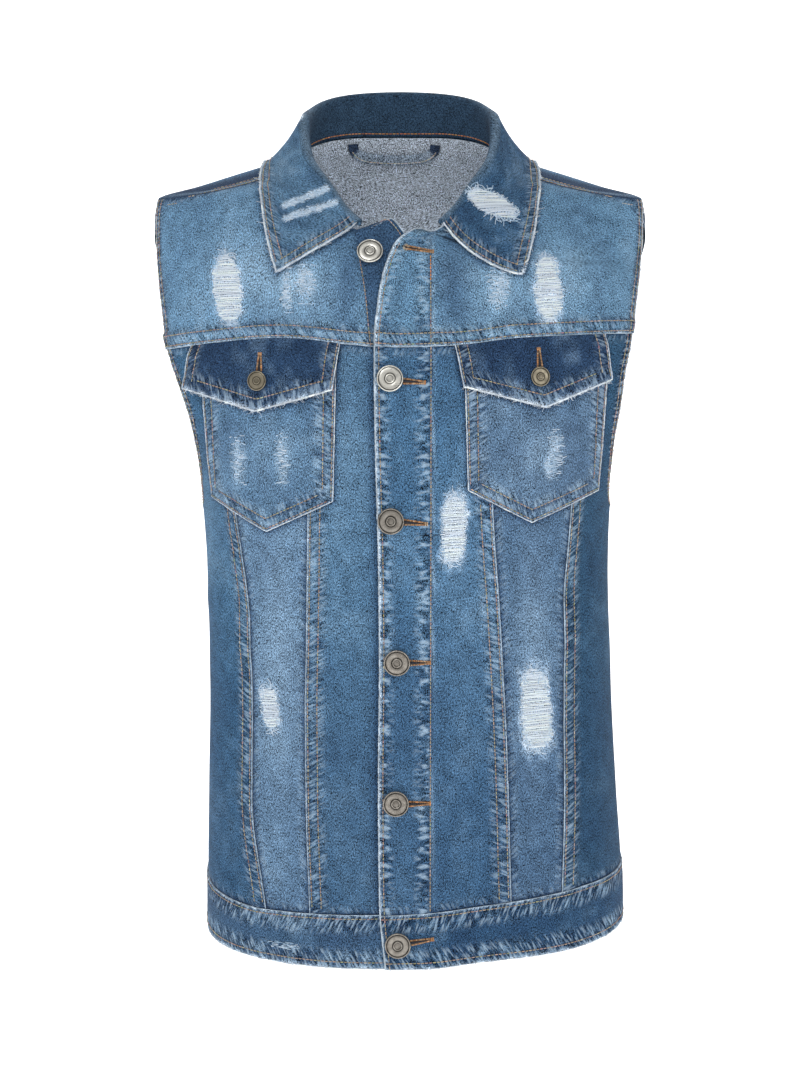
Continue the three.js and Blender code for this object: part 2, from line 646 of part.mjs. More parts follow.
function addFrontYoke({ side, sign }) {
  const shoulder = shoulderSeam(sign);
  const neck = [shoulder(0), ...NECK_TURNS.map((turn) => [turn * sign, neckHeight(turn)])];
  const neckCurve = curveThrough([...neck, ...frontPlaces(FRONT_NECK[side])]);
  const edgeX = SEAM_X[`edge_${side}`];
  const edgeTop = neckCurve(1)[1];
  const edgeBottom = yokeHeight(edgeX(SEAM_TOP_Z));
  const edgeCurve = (share) => {
    const z = mix(edgeTop, edgeBottom, share);
    return [frontTurn(edgeX(z), z), z];
  };
  const inner = joinCurves(neckCurve, edgeCurve, NECK_SHARE);
  const armhole = curveThrough(frontPlaces(ARMHOLE_YOKE[side]));
  const armTop = ARMHOLE_YOKE[side][0];
  const armEnd = ARMHOLE_YOKE[side][ARMHOLE_YOKE[side].length - 1];
  const armLap = 1 - LAP_WIDTH / (armTop.z - armEnd.z);
  const aboveLap = (share) => armhole(share * armLap);
  const besideLap = (share) => armhole(mix(armLap, 1, share));
  const outer = joinCurves(aboveLap, besideLap, LAP_SHARE);
  const startX = edgeX(edgeBottom);
  const endX = armEnd.x;
  const lower = (share) => {
    const x = mix(startX, endX, share);
    const z = yokeHeight(x);
    return [frontTurn(x, z), z];
  };
  const reverse = (curve) => (share) => curve(1 - share);
  const top = sign > 0 ? shoulder : reverse(shoulder);
  const bottom = sign > 0 ? lower : reverse(lower);
  const [left, right] = ordered(sign, inner, outer);
  const across = fromOutsideShares(sign, YOKE_ACROSS);
  const places = coonsPlaces(top, bottom, left, right, across, YOKE_DOWN);
  const lap = (row) => (row >= YOKE_DOWN.length - 2 ? YOKE_LAP : 0);
  addPiece(`front_yoke_${side}`, panelGeometry(
    places,
    (row, column, x) => liftOf(side, x) + lap(row) * showing(side, x),
    (row, column, x) => CLOTH + lap(row) * showing(side, x),
  ), DENIM_LIGHT);
}

// The back yoke wraps over the shoulders to the shoulder seams
const BACK_YOKE_DOWN = [0, 0.02, 0.045, 0.08, 0.13, 0.2, 0.32, 0.44, 0.56, 0.68, 0.8, 0.89, 0.9, 1];
const SHOULDER_SHARE = 0.32;
const SHOULDER_COLUMNS = 9;
const NECK_COLUMNS = 18;
const YOKE_ARM_ROWS = 5;
const BACK_ARM = ARMHOLE_BACK[YOKE_ARM_ROWS - 1];

// A turn past the middle of the back, as the same place counted the other way round the front
const wrapped = (turn) => (turn > 180 ? turn - 360 : turn);
const pastBack = ([turn, z]) => [turn < 0 ? turn + 360 : turn, z];
const onRight = (place) => [360 - place[0], place[1]];

function backYokeHeight(turn) {
  const share = (turn - BACK_ARM.turn) / (360 - 2 * BACK_ARM.turn);
  return mix(BACK_ARM.z, BACK_YOKE_Z, Math.sin(clamp(share, 0, 1) * Math.PI));
}

function addBackYoke() {
  const left = shoulderSeam(1);
  const right = shoulderSeam(-1);
  const neckStart = left(0)[0];
  const neck = (share) => {
    const turn = mix(neckStart, 360 - neckStart, share);
    return [turn, neckHeight(Math.abs(wrapped(turn)))];
  };
  const top = (share) => {
    if (share <= SHOULDER_SHARE) return left(1 - share / SHOULDER_SHARE);
    if (share >= 1 - SHOULDER_SHARE) return pastBack(right((share - 1 + SHOULDER_SHARE) / SHOULDER_SHARE));
    return neck((share - SHOULDER_SHARE) / (1 - 2 * SHOULDER_SHARE));
  };
  const bottom = (share) => {
    const turn = mix(BACK_ARM.turn, 360 - BACK_ARM.turn, share);
    return [turn, backYokeHeight(turn)];
  };
  const armhole = [left(1), ...ARMHOLE_BACK.slice(1, YOKE_ARM_ROWS).map(({ turn, z }) => [turn, z])];
  const across = [
    ...fractions(SHOULDER_COLUMNS).map((share) => share * SHOULDER_SHARE),
    ...fractions(NECK_COLUMNS).slice(1, -1).map((share) => mix(SHOULDER_SHARE, 1 - SHOULDER_SHARE, share)),
    ...fractions(SHOULDER_COLUMNS).map((share) => 1 - SHOULDER_SHARE + share * SHOULDER_SHARE),
  ];
  const places = coonsPlaces(
    top,
    bottom,
    curveThrough(armhole),
    curveThrough(armhole.map(onRight)),
    across,
    BACK_YOKE_DOWN,
  );
  const lap = (row) => (row >= BACK_YOKE_DOWN.length - 2 ? LAP : 0);
  addPiece('back_yoke', panelGeometry(places, lap, (row) => CLOTH + lap(row)), DENIM_LIGHT);
}

// The back's lower panels: a centre and two sides, lapped like the fronts
const BACK_SEAM_X = [
  BACK_SEAM_LOW,
  BACK_SEAM_MIDDLE,
  { z: BACK_YOKE_Z, x: BACK_SEAM_TOP_X },
];
const backSeamX = curveOf(BACK_SEAM_X, 'z', 'x');
const BACK_SIDE_ACROSS = [0, 0.09, 0.2, 0.32, 0.44, 0.56, 0.7, 0.84, 1];
const BACK_CENTRE_ACROSS = [0, 0.065, 0.072, 0.2, 0.35, 0.5, 0.65, 0.8, 0.928, 0.935, 1];

function backSeam(sign) {
  const top = backYokeHeight(backTurn(BACK_SEAM_TOP_X, BACK_YOKE_Z));
  const lowX = sectionAt(BACK_SEAM_LOW.z).shift + sign * BACK_SEAM_LOW.x;
  const bottom = bandTop(wrapped(backTurn(lowX, BACK_SEAM_LOW.z)));
  return (share) => {
    const z = seamHeight(top, bottom, share);
    return [backTurn(sectionAt(z).shift + sign * backSeamX(z), z), z];
  };
}

function addBackPanels() {
  const armhole = ARMHOLE_BACK.slice(YOKE_ARM_ROWS - 1).map(({ turn, z }) => [turn, z]);
  const leftArm = joinCurves(curveThrough(armhole), sideSeam(1), UNDERARM_ROW);
  const rightSide = (share) => pastBack(sideSeam(-1)(share));
  const rightArm = joinCurves(curveThrough(armhole.map(onRight)), rightSide, UNDERARM_ROW);
  const seams = [leftArm, backSeam(1), backSeam(-1), rightArm];
  const pieces = [
    { name: 'back_side_l', across: BACK_SIDE_ACROSS },
    { name: 'back_centre', across: BACK_CENTRE_ACROSS },
    { name: 'back_side_r', across: BACK_SIDE_ACROSS.map((share) => 1 - share).reverse() },
  ];
  pieces.forEach(({ name, across }, i) => {
    const [left, right] = [seams[i], seams[i + 1]];
    const top = (share) => {
      const turn = mix(left(0)[0], right(0)[0], share);
      return [turn, backYokeHeight(turn)];
    };
    const bottom = (share) => {
      const turn = mix(left(1)[0], right(1)[0], share);
      return [turn, bandTop(wrapped(turn))];
    };
    const places = coonsPlaces(top, bottom, left, right, across, DOWN);
    const isLap = (column) => name === 'back_centre' && (column < 2 || column > across.length - 3);
    const lap = (row, column) => (isLap(column) ? LAP : 0);
    addPiece(name, panelGeometry(places, lap, (row, column) => CLOTH + lap(row, column)), DENIM);
  });
}

// The hem band in three lengths: the back, and a front end on each side
const BAND_DOWN = fractions(3);
const edgeTurn = (side) => (z) => frontTurn(SEAM_X[`edge_${side}`](z), z);
const BAND_PIECES = [
  { name: 'hem_band_r', start: () => -SIDE_SEAM_TURN, end: edgeTurn('r'), columns: 13 },
  { name: 'hem_band_l', start: edgeTurn('l'), end: () => SIDE_SEAM_TURN, columns: 13 },
  { name: 'hem_band_back', start: () => SIDE_SEAM_TURN, end: () => 360 - SIDE_SEAM_TURN, columns: 18 },
];

function addBand({ name, start, end, columns }) {
  const places = BAND_DOWN.map((down) => fractions(columns).map((across) => {
    const middle = mix(bandTop(0), hemEdge(0), down);
    const turn = mix(start(middle), end(middle), across);
    return [turn, mix(bandTop(wrapped(turn)), hemEdge(wrapped(turn)), down)];
  }));
  const side = name === 'hem_band_l' ? 'l' : 'r';
  addPiece(name, panelGeometry(
    places,
    (row, column, x) => (name === 'hem_band_back' ? 0 : liftOf(side, x)) + BAND_RISE,
    () => DOUBLE_CLOTH,
  ), DENIM_DARK);
}

// A pocket or flap with a pointed lower edge, from its five corners; its top may follow the yoke
const PATCH_COLUMNS = 5;
const PATCH_DOWN = fractions(6);
const FLAP_DOWN = [0, 0.3, 0.65, 1];

function patchPlaces(corners, sign, down, underYoke) {
  const { outerTop, innerTop, outerLow, tip, innerLow } = corners;
  const [topLeft, topRight] = ordered(sign, innerTop, outerTop);
  const [lowLeft, lowRight] = ordered(sign, innerLow, outerLow);
  const tipShare = (tip[0] - lowLeft[0]) / (lowRight[0] - lowLeft[0]);
  const across = [
    ...fractions(PATCH_COLUMNS).map((share) => share * tipShare),
    ...fractions(PATCH_COLUMNS).slice(1).map((share) => mix(tipShare, 1, share)),
  ];
  return down.map((v) => across.map((u) => {
    const topX = mix(topLeft[0], topRight[0], u);
    const topZ = underYoke ? yokeHeight(topX) : mix(topLeft[1], topRight[1], u);
    const half = u <= tipShare ? u / tipShare : (u - tipShare) / (1 - tipShare);
    const [from, to] = u <= tipShare ? [lowLeft, tip] : [tip, lowRight];
    const x = mix(topX, mix(from[0], to[0], half), v);
    const z = mix(topZ, mix(from[1], to[1], half), v);
    return [frontTurn(x, z), z];
  }));
}

const FLAP_ROOT = 0.5;
const FLAP_WALL = 1.5;
const FLAP_SPRING = 1.2;

function addPocket({ side, sign }) {
  addPiece(`pocket_${side}`, panelGeometry(
    patchPlaces(POCKETS[side], sign, PATCH_DOWN, false),
    (row, column, x) => liftOf(side, x) + LAYER_GAP + CLOTH,
    () => CLOTH,
  ), DENIM_LIGHT);
  const overPocket = 2 * LAYER_GAP + CLOTH;
  const overEdge = (row) => ease(0, FLAP_DOWN[1], FLAP_DOWN[row]);
  const stand = (row) => mix(FLAP_ROOT, overPocket, overEdge(row)) + FLAP_SPRING * FLAP_DOWN[row] ** 2;
  addPiece(`flap_${side}`, panelGeometry(
    patchPlaces(FLAPS[side], sign, FLAP_DOWN, true),
    (row, column, x) => liftOf(side, x) + stand(row) + FLAP_WALL,
    () => FLAP_WALL,
  ), DENIM_DARK);
}

// The collar: sections across it from the neck seam up the stand, over the roll and down the fall
const STAND_GAP = 1.3;
const FALL_GAP = 1.1;
const FALL_STEPS = 5;
const ROLL_ANGLES = [0, 45, 90, 135, 180];

// How far the fall bows: in towards the neck, and down along each front end
const FALL_HOLLOW = 3;
const END_BOW = { r: 2, l: 13 };
const END_REACH = 0.16;
const END_BOW_POWER = 0.6;
const CLEARING_PASSES = 3;

function endBow(share, down) {
  const end = share < 0.5 ? { bow: END_BOW.l, near: share } : { bow: END_BOW.r, near: 1 - share };
  return end.bow * (1 - ease(0, END_REACH, end.near)) * Math.sin(Math.PI * down) ** END_BOW_POWER;
}

// The left front's lift, at a point of the collar
const liftUnder = (point) => (point.x > 0 && point.y < 0 ? leftLift(point.x) : 0);

// Move a point of the fall out until the collar's wall clears what lies under it
function clearOfBody(point) {
  const moved = point.clone();
  const wanted = COLLAR_WALL / 2 + FALL_GAP + liftUnder(point);
  for (let pass = 0; pass < CLEARING_PASSES; pass += 1) {
    const slope = fullnessSlope(moved);
    const distance = (fullness(moved) - 1) / slope.length() - foldHeight(moved);
    if (distance < wanted) moved.addScaledVector(slope.normalize(), wanted - distance);
  }
  return moved;
}

function collarStations() {
  const station = (row, sign) => ({
    turn: sign > 0 ? row.turn : 360 - row.turn,
    roll: new THREE.Vector3(sign * row.roll[0], row.roll[1], row.roll[2]),
    edge: new THREE.Vector3(sign * row.edge[0], row.edge[1], row.edge[2]),
    radius: row.radius,
  });
  const leftRows = [...COLLAR].reverse().map((row) => station(row, 1));
  return [...leftRows, ...COLLAR.slice(1).map((row) => station(row, -1))];
}

function addCollar() {
  const stations = collarStations();
  const smooth = (points) => new THREE.CatmullRomCurve3(points, false, 'catmullrom', 0.5);
  const rollCurve = smooth(stations.map(({ roll }) => roll));
  const edgeCurve = smooth(stations.map(({ edge }) => edge));
  const rootCurve = smooth(stations.map(({ turn, radius }) => new THREE.Vector3(turn, radius, 0)));
  const columns = fractions(COLLAR_COLUMNS).map((share) => {
    const root = rootCurve.getPoint(share);
    const turn = root.x;
    const radius = root.y;
    const neckZ = neckHeight(Math.abs(wrapped(turn)));
    const seam = clothPoint(turn, neckZ, liftUnder(bodyPoint(turn, neckZ)) - CLOTH / 2);
    const roll = rollCurve.getPoint(share);
    const up = roll.clone().sub(seam).normalize();
    const along = rollCurve.getTangent(share);
    const out = new THREE.Vector3().crossVectors(along, up).normalize();
    const centre = roll.clone().addScaledVector(up, -radius - COLLAR_WALL / 2);
    const start = seam.clone().addScaledVector(up, STAND_GAP);
    const arc = ROLL_ANGLES.map((angle) => {
      const point = centre.clone()
        .addScaledVector(out, -radius * Math.cos(angle * RADIANS))
        .addScaledVector(up, radius * Math.sin(angle * RADIANS));
      return angle > 90 ? clearOfBody(point) : point;
    });
    const fallStart = arc[arc.length - 1];
    const edge = edgeCurve.getPoint(share);
    const fall = fractions(FALL_STEPS).slice(1).map((step) => {
      const point = fallStart.clone().lerp(edge, step);
      point.addScaledVector(out, -FALL_HOLLOW * Math.sin(Math.PI * step));
      point.z -= endBow(share, step);
      return clearOfBody(point);
    });
    return [start, start.clone().lerp(arc[0], 0.5), ...arc, ...fall];
  });
  const rows = columns[0].map((_, row) => columns.map((column) => column[row]));
  const normalAt = (row, column) => {
    const above = rows[Math.max(0, row - 1)][column];
    const below = rows[Math.min(rows.length - 1, row + 1)][column];
    const before = rows[row][Math.max(0, column - 1)];
    const after = rows[row][Math.min(COLLAR_COLUMNS, column + 1)];
    return new THREE.Vector3().crossVectors(below.clone().sub(above), after.clone().sub(before)).normalize();
  };
  const offset = (distance) => rows.map((line, row) => line.map((point, column) => (
    point.clone().addScaledVector(normalAt(row, column), distance)
  )));
  addPiece('collar', wallGeometry(offset(COLLAR_WALL / 2), offset(-COLLAR_WALL / 2)), DENIM_DARK);
}

// The hanger loop lies against the inside of the back yoke
const LOOP_COLUMNS = 16;

function addHangerLoop() {
  const points = [...LOOP_PATH].reverse().map(([x, z]) => new THREE.Vector3(x, 0, z));
  const path = new THREE.CatmullRomCurve3(points, false, 'centripetal');
  const sides = [-0.5, 0.5];
  const places = sides.map((side) => fractions(LOOP_COLUMNS).map((share) => {
    const point = path.getPointAt(share);
    const along = path.getTangentAt(share);
    const x = point.x - along.z * side * LOOP_WIDTH;
    const z = point.z + along.x * side * LOOP_WIDTH;
    return [backTurn(x, z), z];
  }));
  const face = (depth) => places.map((row) => row.map(([turn, z]) => (
    clothPoint(turn, z, -CLOTH - LOOP_GAP - depth)
  )));
  addPiece('hanger_loop', wallGeometry(face(0), face(LOOP_WALL)), DENIM);
}

// A tack button: a short foot, a cap with a raised rim, and a raised ring in its middle
const BUTTON_SIDES = 18;
const BUTTON_PROFILE = [
  [0, 0], [0.26, 0], [0.26, 0.15], [0.93, 0.19], [1, 0.3], [0.91, 0.39],
  [0.82, 0.34], [0.4, 0.34], [0.33, 0.41], [0, 0.39],
];

function addButton({ name, x, z, radius = BUTTON_RADIUS }, out, material) {
  const profile = BUTTON_PROFILE.map(([across, up]) => new THREE.Vector2(across * radius, up * radius));
  const turn = frontTurn(x, z);
  const normal = fullnessSlope(bodyPoint(turn, z)).normalize();
  const mesh = addPiece(name, new THREE.LatheGeometry(profile, BUTTON_SIDES), material);
  mesh.position.copy(clothPoint(turn, z, out + BUTTON_GAP));
  mesh.quaternion.setFromUnitVectors(new THREE.Vector3(0, 1, 0), normal);
}

for (const side of SIDES) {
  addFrontYoke(side);
  addFrontPanels(side);
  addPocket(side);
}
addBackYoke();
addBackPanels();
BAND_PIECES.forEach(addBand);
addCollar();
addHangerLoop();
BUTTONS.forEach((button) => {
  const lift = button.lifted ? leftLift(button.x) : 0;
  addButton(button, lift + button.base, button.metal);
});
FLAP_BUTTONS.forEach((button) => {
  const spring = FLAP_SPRING * FLAP_BUTTON_SHARE ** 2;
  const out = liftOf(button.side, button.x) + 2 * LAYER_GAP + CLOTH + spring + FLAP_WALL;
  addButton({ ...button, radius: FLAP_BUTTON_RADIUS }, out, BRONZE);
});

export default group;
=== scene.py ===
"""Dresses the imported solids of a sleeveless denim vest: cloth, sewing, wear and metal buttons.

Sizes are in millimetres until a mesh is made. A place on the cloth is an angle about the body,
0 at the middle of the front and 90 at the wearer's left side, and a height z.
"""
import math
from types import SimpleNamespace

import bpy
import numpy as np
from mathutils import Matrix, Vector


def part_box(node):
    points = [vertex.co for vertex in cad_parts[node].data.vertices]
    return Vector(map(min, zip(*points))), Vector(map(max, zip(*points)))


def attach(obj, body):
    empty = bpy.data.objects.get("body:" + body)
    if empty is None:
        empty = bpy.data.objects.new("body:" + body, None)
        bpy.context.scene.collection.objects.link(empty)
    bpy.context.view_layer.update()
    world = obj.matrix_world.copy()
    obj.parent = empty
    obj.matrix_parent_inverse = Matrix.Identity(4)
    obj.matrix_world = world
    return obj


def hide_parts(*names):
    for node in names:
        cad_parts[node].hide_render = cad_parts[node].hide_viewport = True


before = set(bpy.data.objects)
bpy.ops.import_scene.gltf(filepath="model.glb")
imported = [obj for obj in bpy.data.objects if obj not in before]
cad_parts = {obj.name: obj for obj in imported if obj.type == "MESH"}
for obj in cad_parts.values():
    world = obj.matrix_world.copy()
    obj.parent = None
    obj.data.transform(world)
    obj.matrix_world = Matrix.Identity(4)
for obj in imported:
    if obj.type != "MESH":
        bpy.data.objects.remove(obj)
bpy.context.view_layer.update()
MM = 0.001

# Camera, from the photograph's frame of 800 by 1067 pixels
FRAME_HEIGHT_PX = 1067
FOCAL_PX = 1951
SENSOR_MM = 36
EYE = (0.0, -1.6, -0.157)
PITCH_DOWN = 5.66

# Thicknesses and gaps
CLOTH = 1.4
DOUBLE_CLOTH = 2.4
FRONT_LIFT = 3.0
LIFT_FULL_X = 24
LIFT_END_X = 58
COVERED_X = -25
SEAM_ROUND = 1.2
SEAM_SINK = 0.35
LEAST_AREA_SHARE = 0.31

# Raised forms
LAP = 0.8
YOKE_LAP = 1.6
BAND_RISE = 1.2
LAP_WIDTH = 12.0

# Heights and angles of the cut
UNDERARM_Z = -292
UNDERARM_SHARE = 4 / 11
SIDE_SEAM_TURN = 93
BACK_YOKE_Z = -148
BACK_SEAM = ((-588, 72), (-400, 83), (-148, 108))

# The back below its yoke: name, width, the border with the armhole
BACK_PIECES = (("back_side_l", 150, "left"), ("back_centre", 180, None), ("back_side_r", 150, "right"))

# Level sections: z, half width, front, back, widest place, squareness, shift to one side
SECTIONS = (
    (-660, 173, -111, 118, 0, 2.4, 13),
    (-600, 172, -111, 116, 0, 2.4, 12.5),
    (-520, 168, -112, 110, 0, 2.45, 10.5),
    (-420, 164, -115, 108, 0, 2.5, 8.5),
    (-360, 164, -117, 112, 0, 2.5, 6.5),
    (-285, 167, -118, 118, 0, 2.5, 5),
    (-245, 174, -117, 122, 0, 2.5, 4),
    (-200, 188, -114, 126, 0, 2.5, 3),
    (-150, 198, -105, 127, 0, 2.45, 2),
    (-110, 200, -92, 124, 2, 2.3, 1),
    (-80, 199.5, -77, 119, 3, 2.1, 0),
    (-60, 199, -64, 116, 4, 1.9, 0),
    (-43, 197, -50, 112, 6, 1.65, 0),
    (-32, 164, -40, 107, 14, 1.5, 0),
    (-23, 138, -33, 103, 22, 1.42, 0),
    (-14, 111, -25, 98, 28, 1.4, 0),
    (0, 76, -14, 90, 34, 1.4, 0),
    (17, 66, -5, 78, 37, 1.45, 0),
)
SECTION_NAMES = ("half", "front", "back", "widest", "square", "shift")

# Folds of the worn cloth: face, x and z of one end and the other, width, height
FOLDS = (
    (-1, -44, -85, -50, -150, 16, -2.0),
    (-1, -128, -75, -160, -150, 24, 1.6),
    (-1, 47, -85, 60, -150, 17, -1.8),
    (-1, 132, -70, 160, -145, 24, 1.6),
    (-1, -148, -300, -92, -390, 26, -2.2),
    (-1, 146, -300, 100, -400, 26, -2.0),
    (-1, 58, -330, 66, -560, 22, -2.2),
    (-1, -48, -340, -52, -540, 22, -1.6),
    (-1, -150, -430, -140, -570, 26, 2.0),
    (-1, 152, -420, 150, -560, 26, 2.0),
    (1, -60, -40, -130, -120, 26, 1.6),
    (1, 60, -40, 130, -120, 26, 1.6),
    (1, -140, -290, -70, -390, 28, -2.4),
    (1, 145, -290, 80, -380, 28, -2.2),
    (1, -20, -330, 0, -560, 30, -2.0),
    (1, 110, -420, 120, -580, 26, 2.0),
    (1, -100, -430, -96, -580, 26, 2.0),
)
FOLD_FADE_Y = 40
FOLD_END_SPREAD = 1.3

# Smaller creases, in the same columns
CREASES = (
    (-1, -62, -95, -74, -140, 7, -0.9),
    (-1, -30, -100, -34, -150, 6, -0.8),
    (-1, 70, -100, 84, -146, 8, 0.8),
    (-1, 36, -110, 40, -155, 7, -0.8),
    (-1, -150, -60, -178, -120, 9, -0.9),
    (-1, 150, -60, 178, -115, 9, -0.9),
    (-1, -150, -330, -118, -372, 9, -1.1),
    (-1, -155, -365, -122, -400, 8, 0.9),
    (-1, 156, -320, 122, -362, 9, -1.1),
    (-1, 158, -362, 126, -398, 8, 0.9),
    (-1, 44, -360, 50, -470, 8, 0.9),
    (-1, -34, -400, -38, -520, 8, 0.8),
    (-1, -92, -500, -96, -590, 9, -0.8),
    (-1, 108, -500, 112, -585, 9, -0.8),
    (-1, -140, -560, -128, -600, 8, -0.9),
    (-1, 150, -540, 146, -590, 8, -0.9),
    (1, -90, -60, -120, -140, 9, -0.9),
    (1, 92, -60, 118, -138, 9, -0.9),
    (1, -30, -60, -36, -130, 10, 0.8),
    (1, 34, -55, 30, -128, 9, -0.8),
    (1, -150, -320, -105, -366, 9, -1.2),
    (1, 150, -318, 112, -360, 9, -1.1),
    (1, -54, -350, -44, -470, 9, -1.0),
    (1, 48, -380, 56, -500, 9, 1.0),
    (1, 6, -200, 0, -300, 10, -1.0),
    (1, -120, -500, -112, -585, 9, -0.9),
)

# The neck seam by angle, from the front to the middle of the back
NECK = (
    (8.8, -70), (13.2, -61), (18.2, -45), (31, -27), (44.8, -15), (62, -5.5),
    (90, 0), (105, 3.5), (125, 8.5), (150, 12.5), (180, 14),
)
NECK_TURNS = (36, 27, 20)
SHOULDER_SEAM = ((80, -15), (113, -29), (136, -35.5), (161, -40.5), (196, -44))
FRONT_NECK = {
    "r": ((-45, -62.5), (-38, -68.5), (-30, -72), (-18, -68), (-7, -61.5)),
    "l": ((45, -61), (31, -71.5), (23, -74.5), (14.5, -71.5)),
}

# The fronts' free edges: z and x
FRONT_EDGE = {
    "r": (
        (-647, 22), (-600, 22), (-300, 20), (-160, 18), (-115, 14), (-90, 9), (-74, 3),
        (-61.5, -7),
    ),
    "l": (
        (-647, -11), (-593, -15.6), (-497, -16.3), (-402, -15.4), (-324, -16.1), (-240, -18.3),
        (-160, -19.3), (-130, -16.8), (-106, -12.3), (-92, -7.7), (-83, -3), (-76, 4.6),
        (-71.5, 14.5),
    ),
}

# The front seams: z, side and inner seam of the right front, inner and side seam of the left
FRONT_SEAMS = (
    (-650, -103, -70, 88, 128),
    (-605, -106.5, -70.8, 87.3, 128),
    (-520, -116.5, -73.5, 85, 129),
    (-440, -115.5, -73.7, 81.6, 128),
    (-360, -120.3, -72, 76.6, 129.5),
    (-290, -129, -70.5, 71.3, 134),
    (-155, -139, -67, 66, 141),
)

# The heights where the front seams start and end, and the share of each that a pocket hides
SEAM_TOP_Z = -158
SEAM_LOW_Z = -600
SEAM_SHOWS = 0.28

# The button stand's row on the right yoke: z, and how far it is to the wearer's right
RIGHT_STAND = ((-164, 22), (-151, 23.6), (-126, 26), (-100, 30), (-70, 36))

# The front yokes' lower edge: x and z
FRONT_YOKE = (
    (-190, -164.5), (-155, -160.5), (-92, -155.5), (-23, -161.5), (0, -163), (30, -162),
    (92, -155.5), (155, -152.5), (190, -151.3),
)

# The armholes' edges: on the yoke and on the side panel as x and z, on the back as angle and z
ARMHOLE_YOKE = {
    "r": ((-196, -44), (-197, -62), (-196, -80), (-194, -101), (-188.5, -138), (-184, -164)),
    "l": ((196, -44), (196, -60), (194.5, -80), (191.5, -101), (186, -132), (182.5, -151.4)),
}
ARMHOLE_SIDE = {
    "r": ((-184, -164), (-176.5, -188), (-168, -212), (-163, -236), (-160, -260), (-160.5, -280)),
    "l": ((182.5, -151.4), (177.5, -180), (172.5, -218), (169, -250), (168, -270), (169, -284)),
}
ARMHOLE_BOTTOM = ((85, -291), (SIDE_SEAM_TURN, UNDERARM_Z))
ARMHOLE_BACK = (
    (84, -44), (92, -57), (101, -80), (107, -112), (109, -150), (109, -200), (105, -245),
    (99, -277), (SIDE_SEAM_TURN, UNDERARM_Z),
)
YOKE_ARM_ROWS = 5

# The hem band by angle: its top seam and its lower edge
HEM = (
    (-180, -588, -632), (-93, -591, -636), (-71, -600, -643), (-46, -606, -646.5),
    (-21, -605.5, -648), (0, -603, -647), (22, -597, -642), (42, -592, -639.5),
    (60, -588, -636), (93, -584, -630), (180, -588, -632),
)

# Corners of the pockets and flaps: outer top, inner top, outer low, tip, inner low
POCKETS = {
    "r": ((-154, -176), (-48.5, -172), (-149, -280.5), (-103, -304), (-51, -279.3)),
    "l": ((161, -170), (49, -172), (156, -274.6), (101, -296.5), (52, -271)),
}
FLAPS = {
    "r": ((-161, -161.5), (-45.7, -159.6), (-166.5, -193.5), (-109, -211), (-51, -195)),
    "l": ((157.5, -152.3), (42, -161), (161.5, -187), (109.6, -208), (48, -192.5)),
}
POCKET_OUT = 2.2
POCKET_SURFACE = POCKET_OUT + 0.6
BOTTOM_STRETCH = 1.12
FLAP_ROOT = 0.5
FLAP_OVER = 3.0
FLAP_SPRING = 1.2
FLAP_WALL = 1.5

# The collar from the middle of the back: angle on the neck seam, roll line, radius, outer edge
COLLAR = (
    (180, (0, 80, 52), 3.6, (0, 104, -14)),
    (150, (37, 74, 49.5), 3.6, (50, 98, -15)),
    (125, (61, 58, 43), 3.6, (88, 78, -16)),
    (100, (73, 34, 33), 3.5, (106, 46, -13)),
    (70, (77, 8, 24), 3.4, (111, 14, -17)),
    (50, (76, -7, 8), 3.2, (111, -12, -33)),
    (33, (70, -26, -12), 3.0, (108, -42, -52)),
    (21, (54, -45, -34), 2.6, (104, -62, -74)),
    (13.2, (42, -60, -52), 2.2, (99, -78, -94)),
    (9, (32, -70.5, -63), 1.9, (95.5, -86, -105)),
)
COLLAR_WALL = 2.4
STAND_GAP = 1.3
FALL_GAP = 1.1
FALL_HOLLOW = 3
END_BOW = (13, 2)
END_REACH = 0.16
END_BOW_POWER = 0.6

LOOP_PATH = ((-41, 8), (-40, 3), (-33, -1), (-20, -2.5), (10, -2.5), (23, -1), (30, 3), (31, 8))
LOOP_LENGTH = 90
LOOP_WIDTH = 8
LOOP_WALL = 1.6
LOOP_GAP = 1.3

# Buttons: name, x, z, radius, metal
BUTTONS = (
    ("button_1", -23, -90.5, 10.2, "silver"),
    ("button_2", -7.6, -187, 10.2, "silver"),
    ("button_3", -6.9, -294, 10.2, "bronze"),
    ("button_4", -2.3, -403, 10.2, "bronze"),
    ("button_5", -3.1, -514, 10.2, "bronze"),
    ("button_6", -1.6, -627, 10.2, "bronze"),
    ("flap_button_r", -107, -188.5, 7.6, "brass"),
    ("flap_button_l", 105, -185.5, 7.6, "brass"),
)

# Colours as sRGB from 0 to 255
# Deep indigo, the cloth's darkest dye, which painted shade is also mixed towards
INK_AND_SHADE = np.array((24, 42, 70))
WORN = np.array((176, 198, 216))
WHITE_THREAD = np.array((232, 243, 255))
TAN = np.array((168, 152, 132))
ORANGE = np.array((206, 134, 74))
CREAM = np.array((206, 196, 176))
SEAM_EDGE = np.array((178, 198, 216))
STAND_EDGE = np.array((196, 212, 226))
INSIDE = np.array((172, 181, 192))

# The cloth's own colour by piece; the side panels' colour is also darkened with painted shade, where the
# body turns away from the light
CENTRE_COLOUR = {"r": (72, 105, 134), "l": (66, 100, 131)}
MIDDLE_COLOUR = {"r": (92, 121, 149), "l": (74, 101, 129)}
SIDE_COLOUR = {"r": (56, 92, 123), "l": (46, 78, 105)}
YOKE_COLOUR = {"r": (96, 132, 162), "l": (93, 129, 158)}
BAND_COLOUR = {"r": (60, 87, 115), "l": (42, 70, 99)}
POCKET_COLOUR = {"r": (76, 107, 136), "l": (78, 104, 131)}
FLAP_COLOUR = (40, 62, 90)
COLLAR_COLOUR = (58, 90, 120)
COLLAR_REVERSE = (74, 104, 132)
BACK_YOKE_COLOUR = (84, 118, 147)
BACK_COLOUR = (76, 109, 138)
BACK_SIDE_COLOUR = (56, 90, 120)

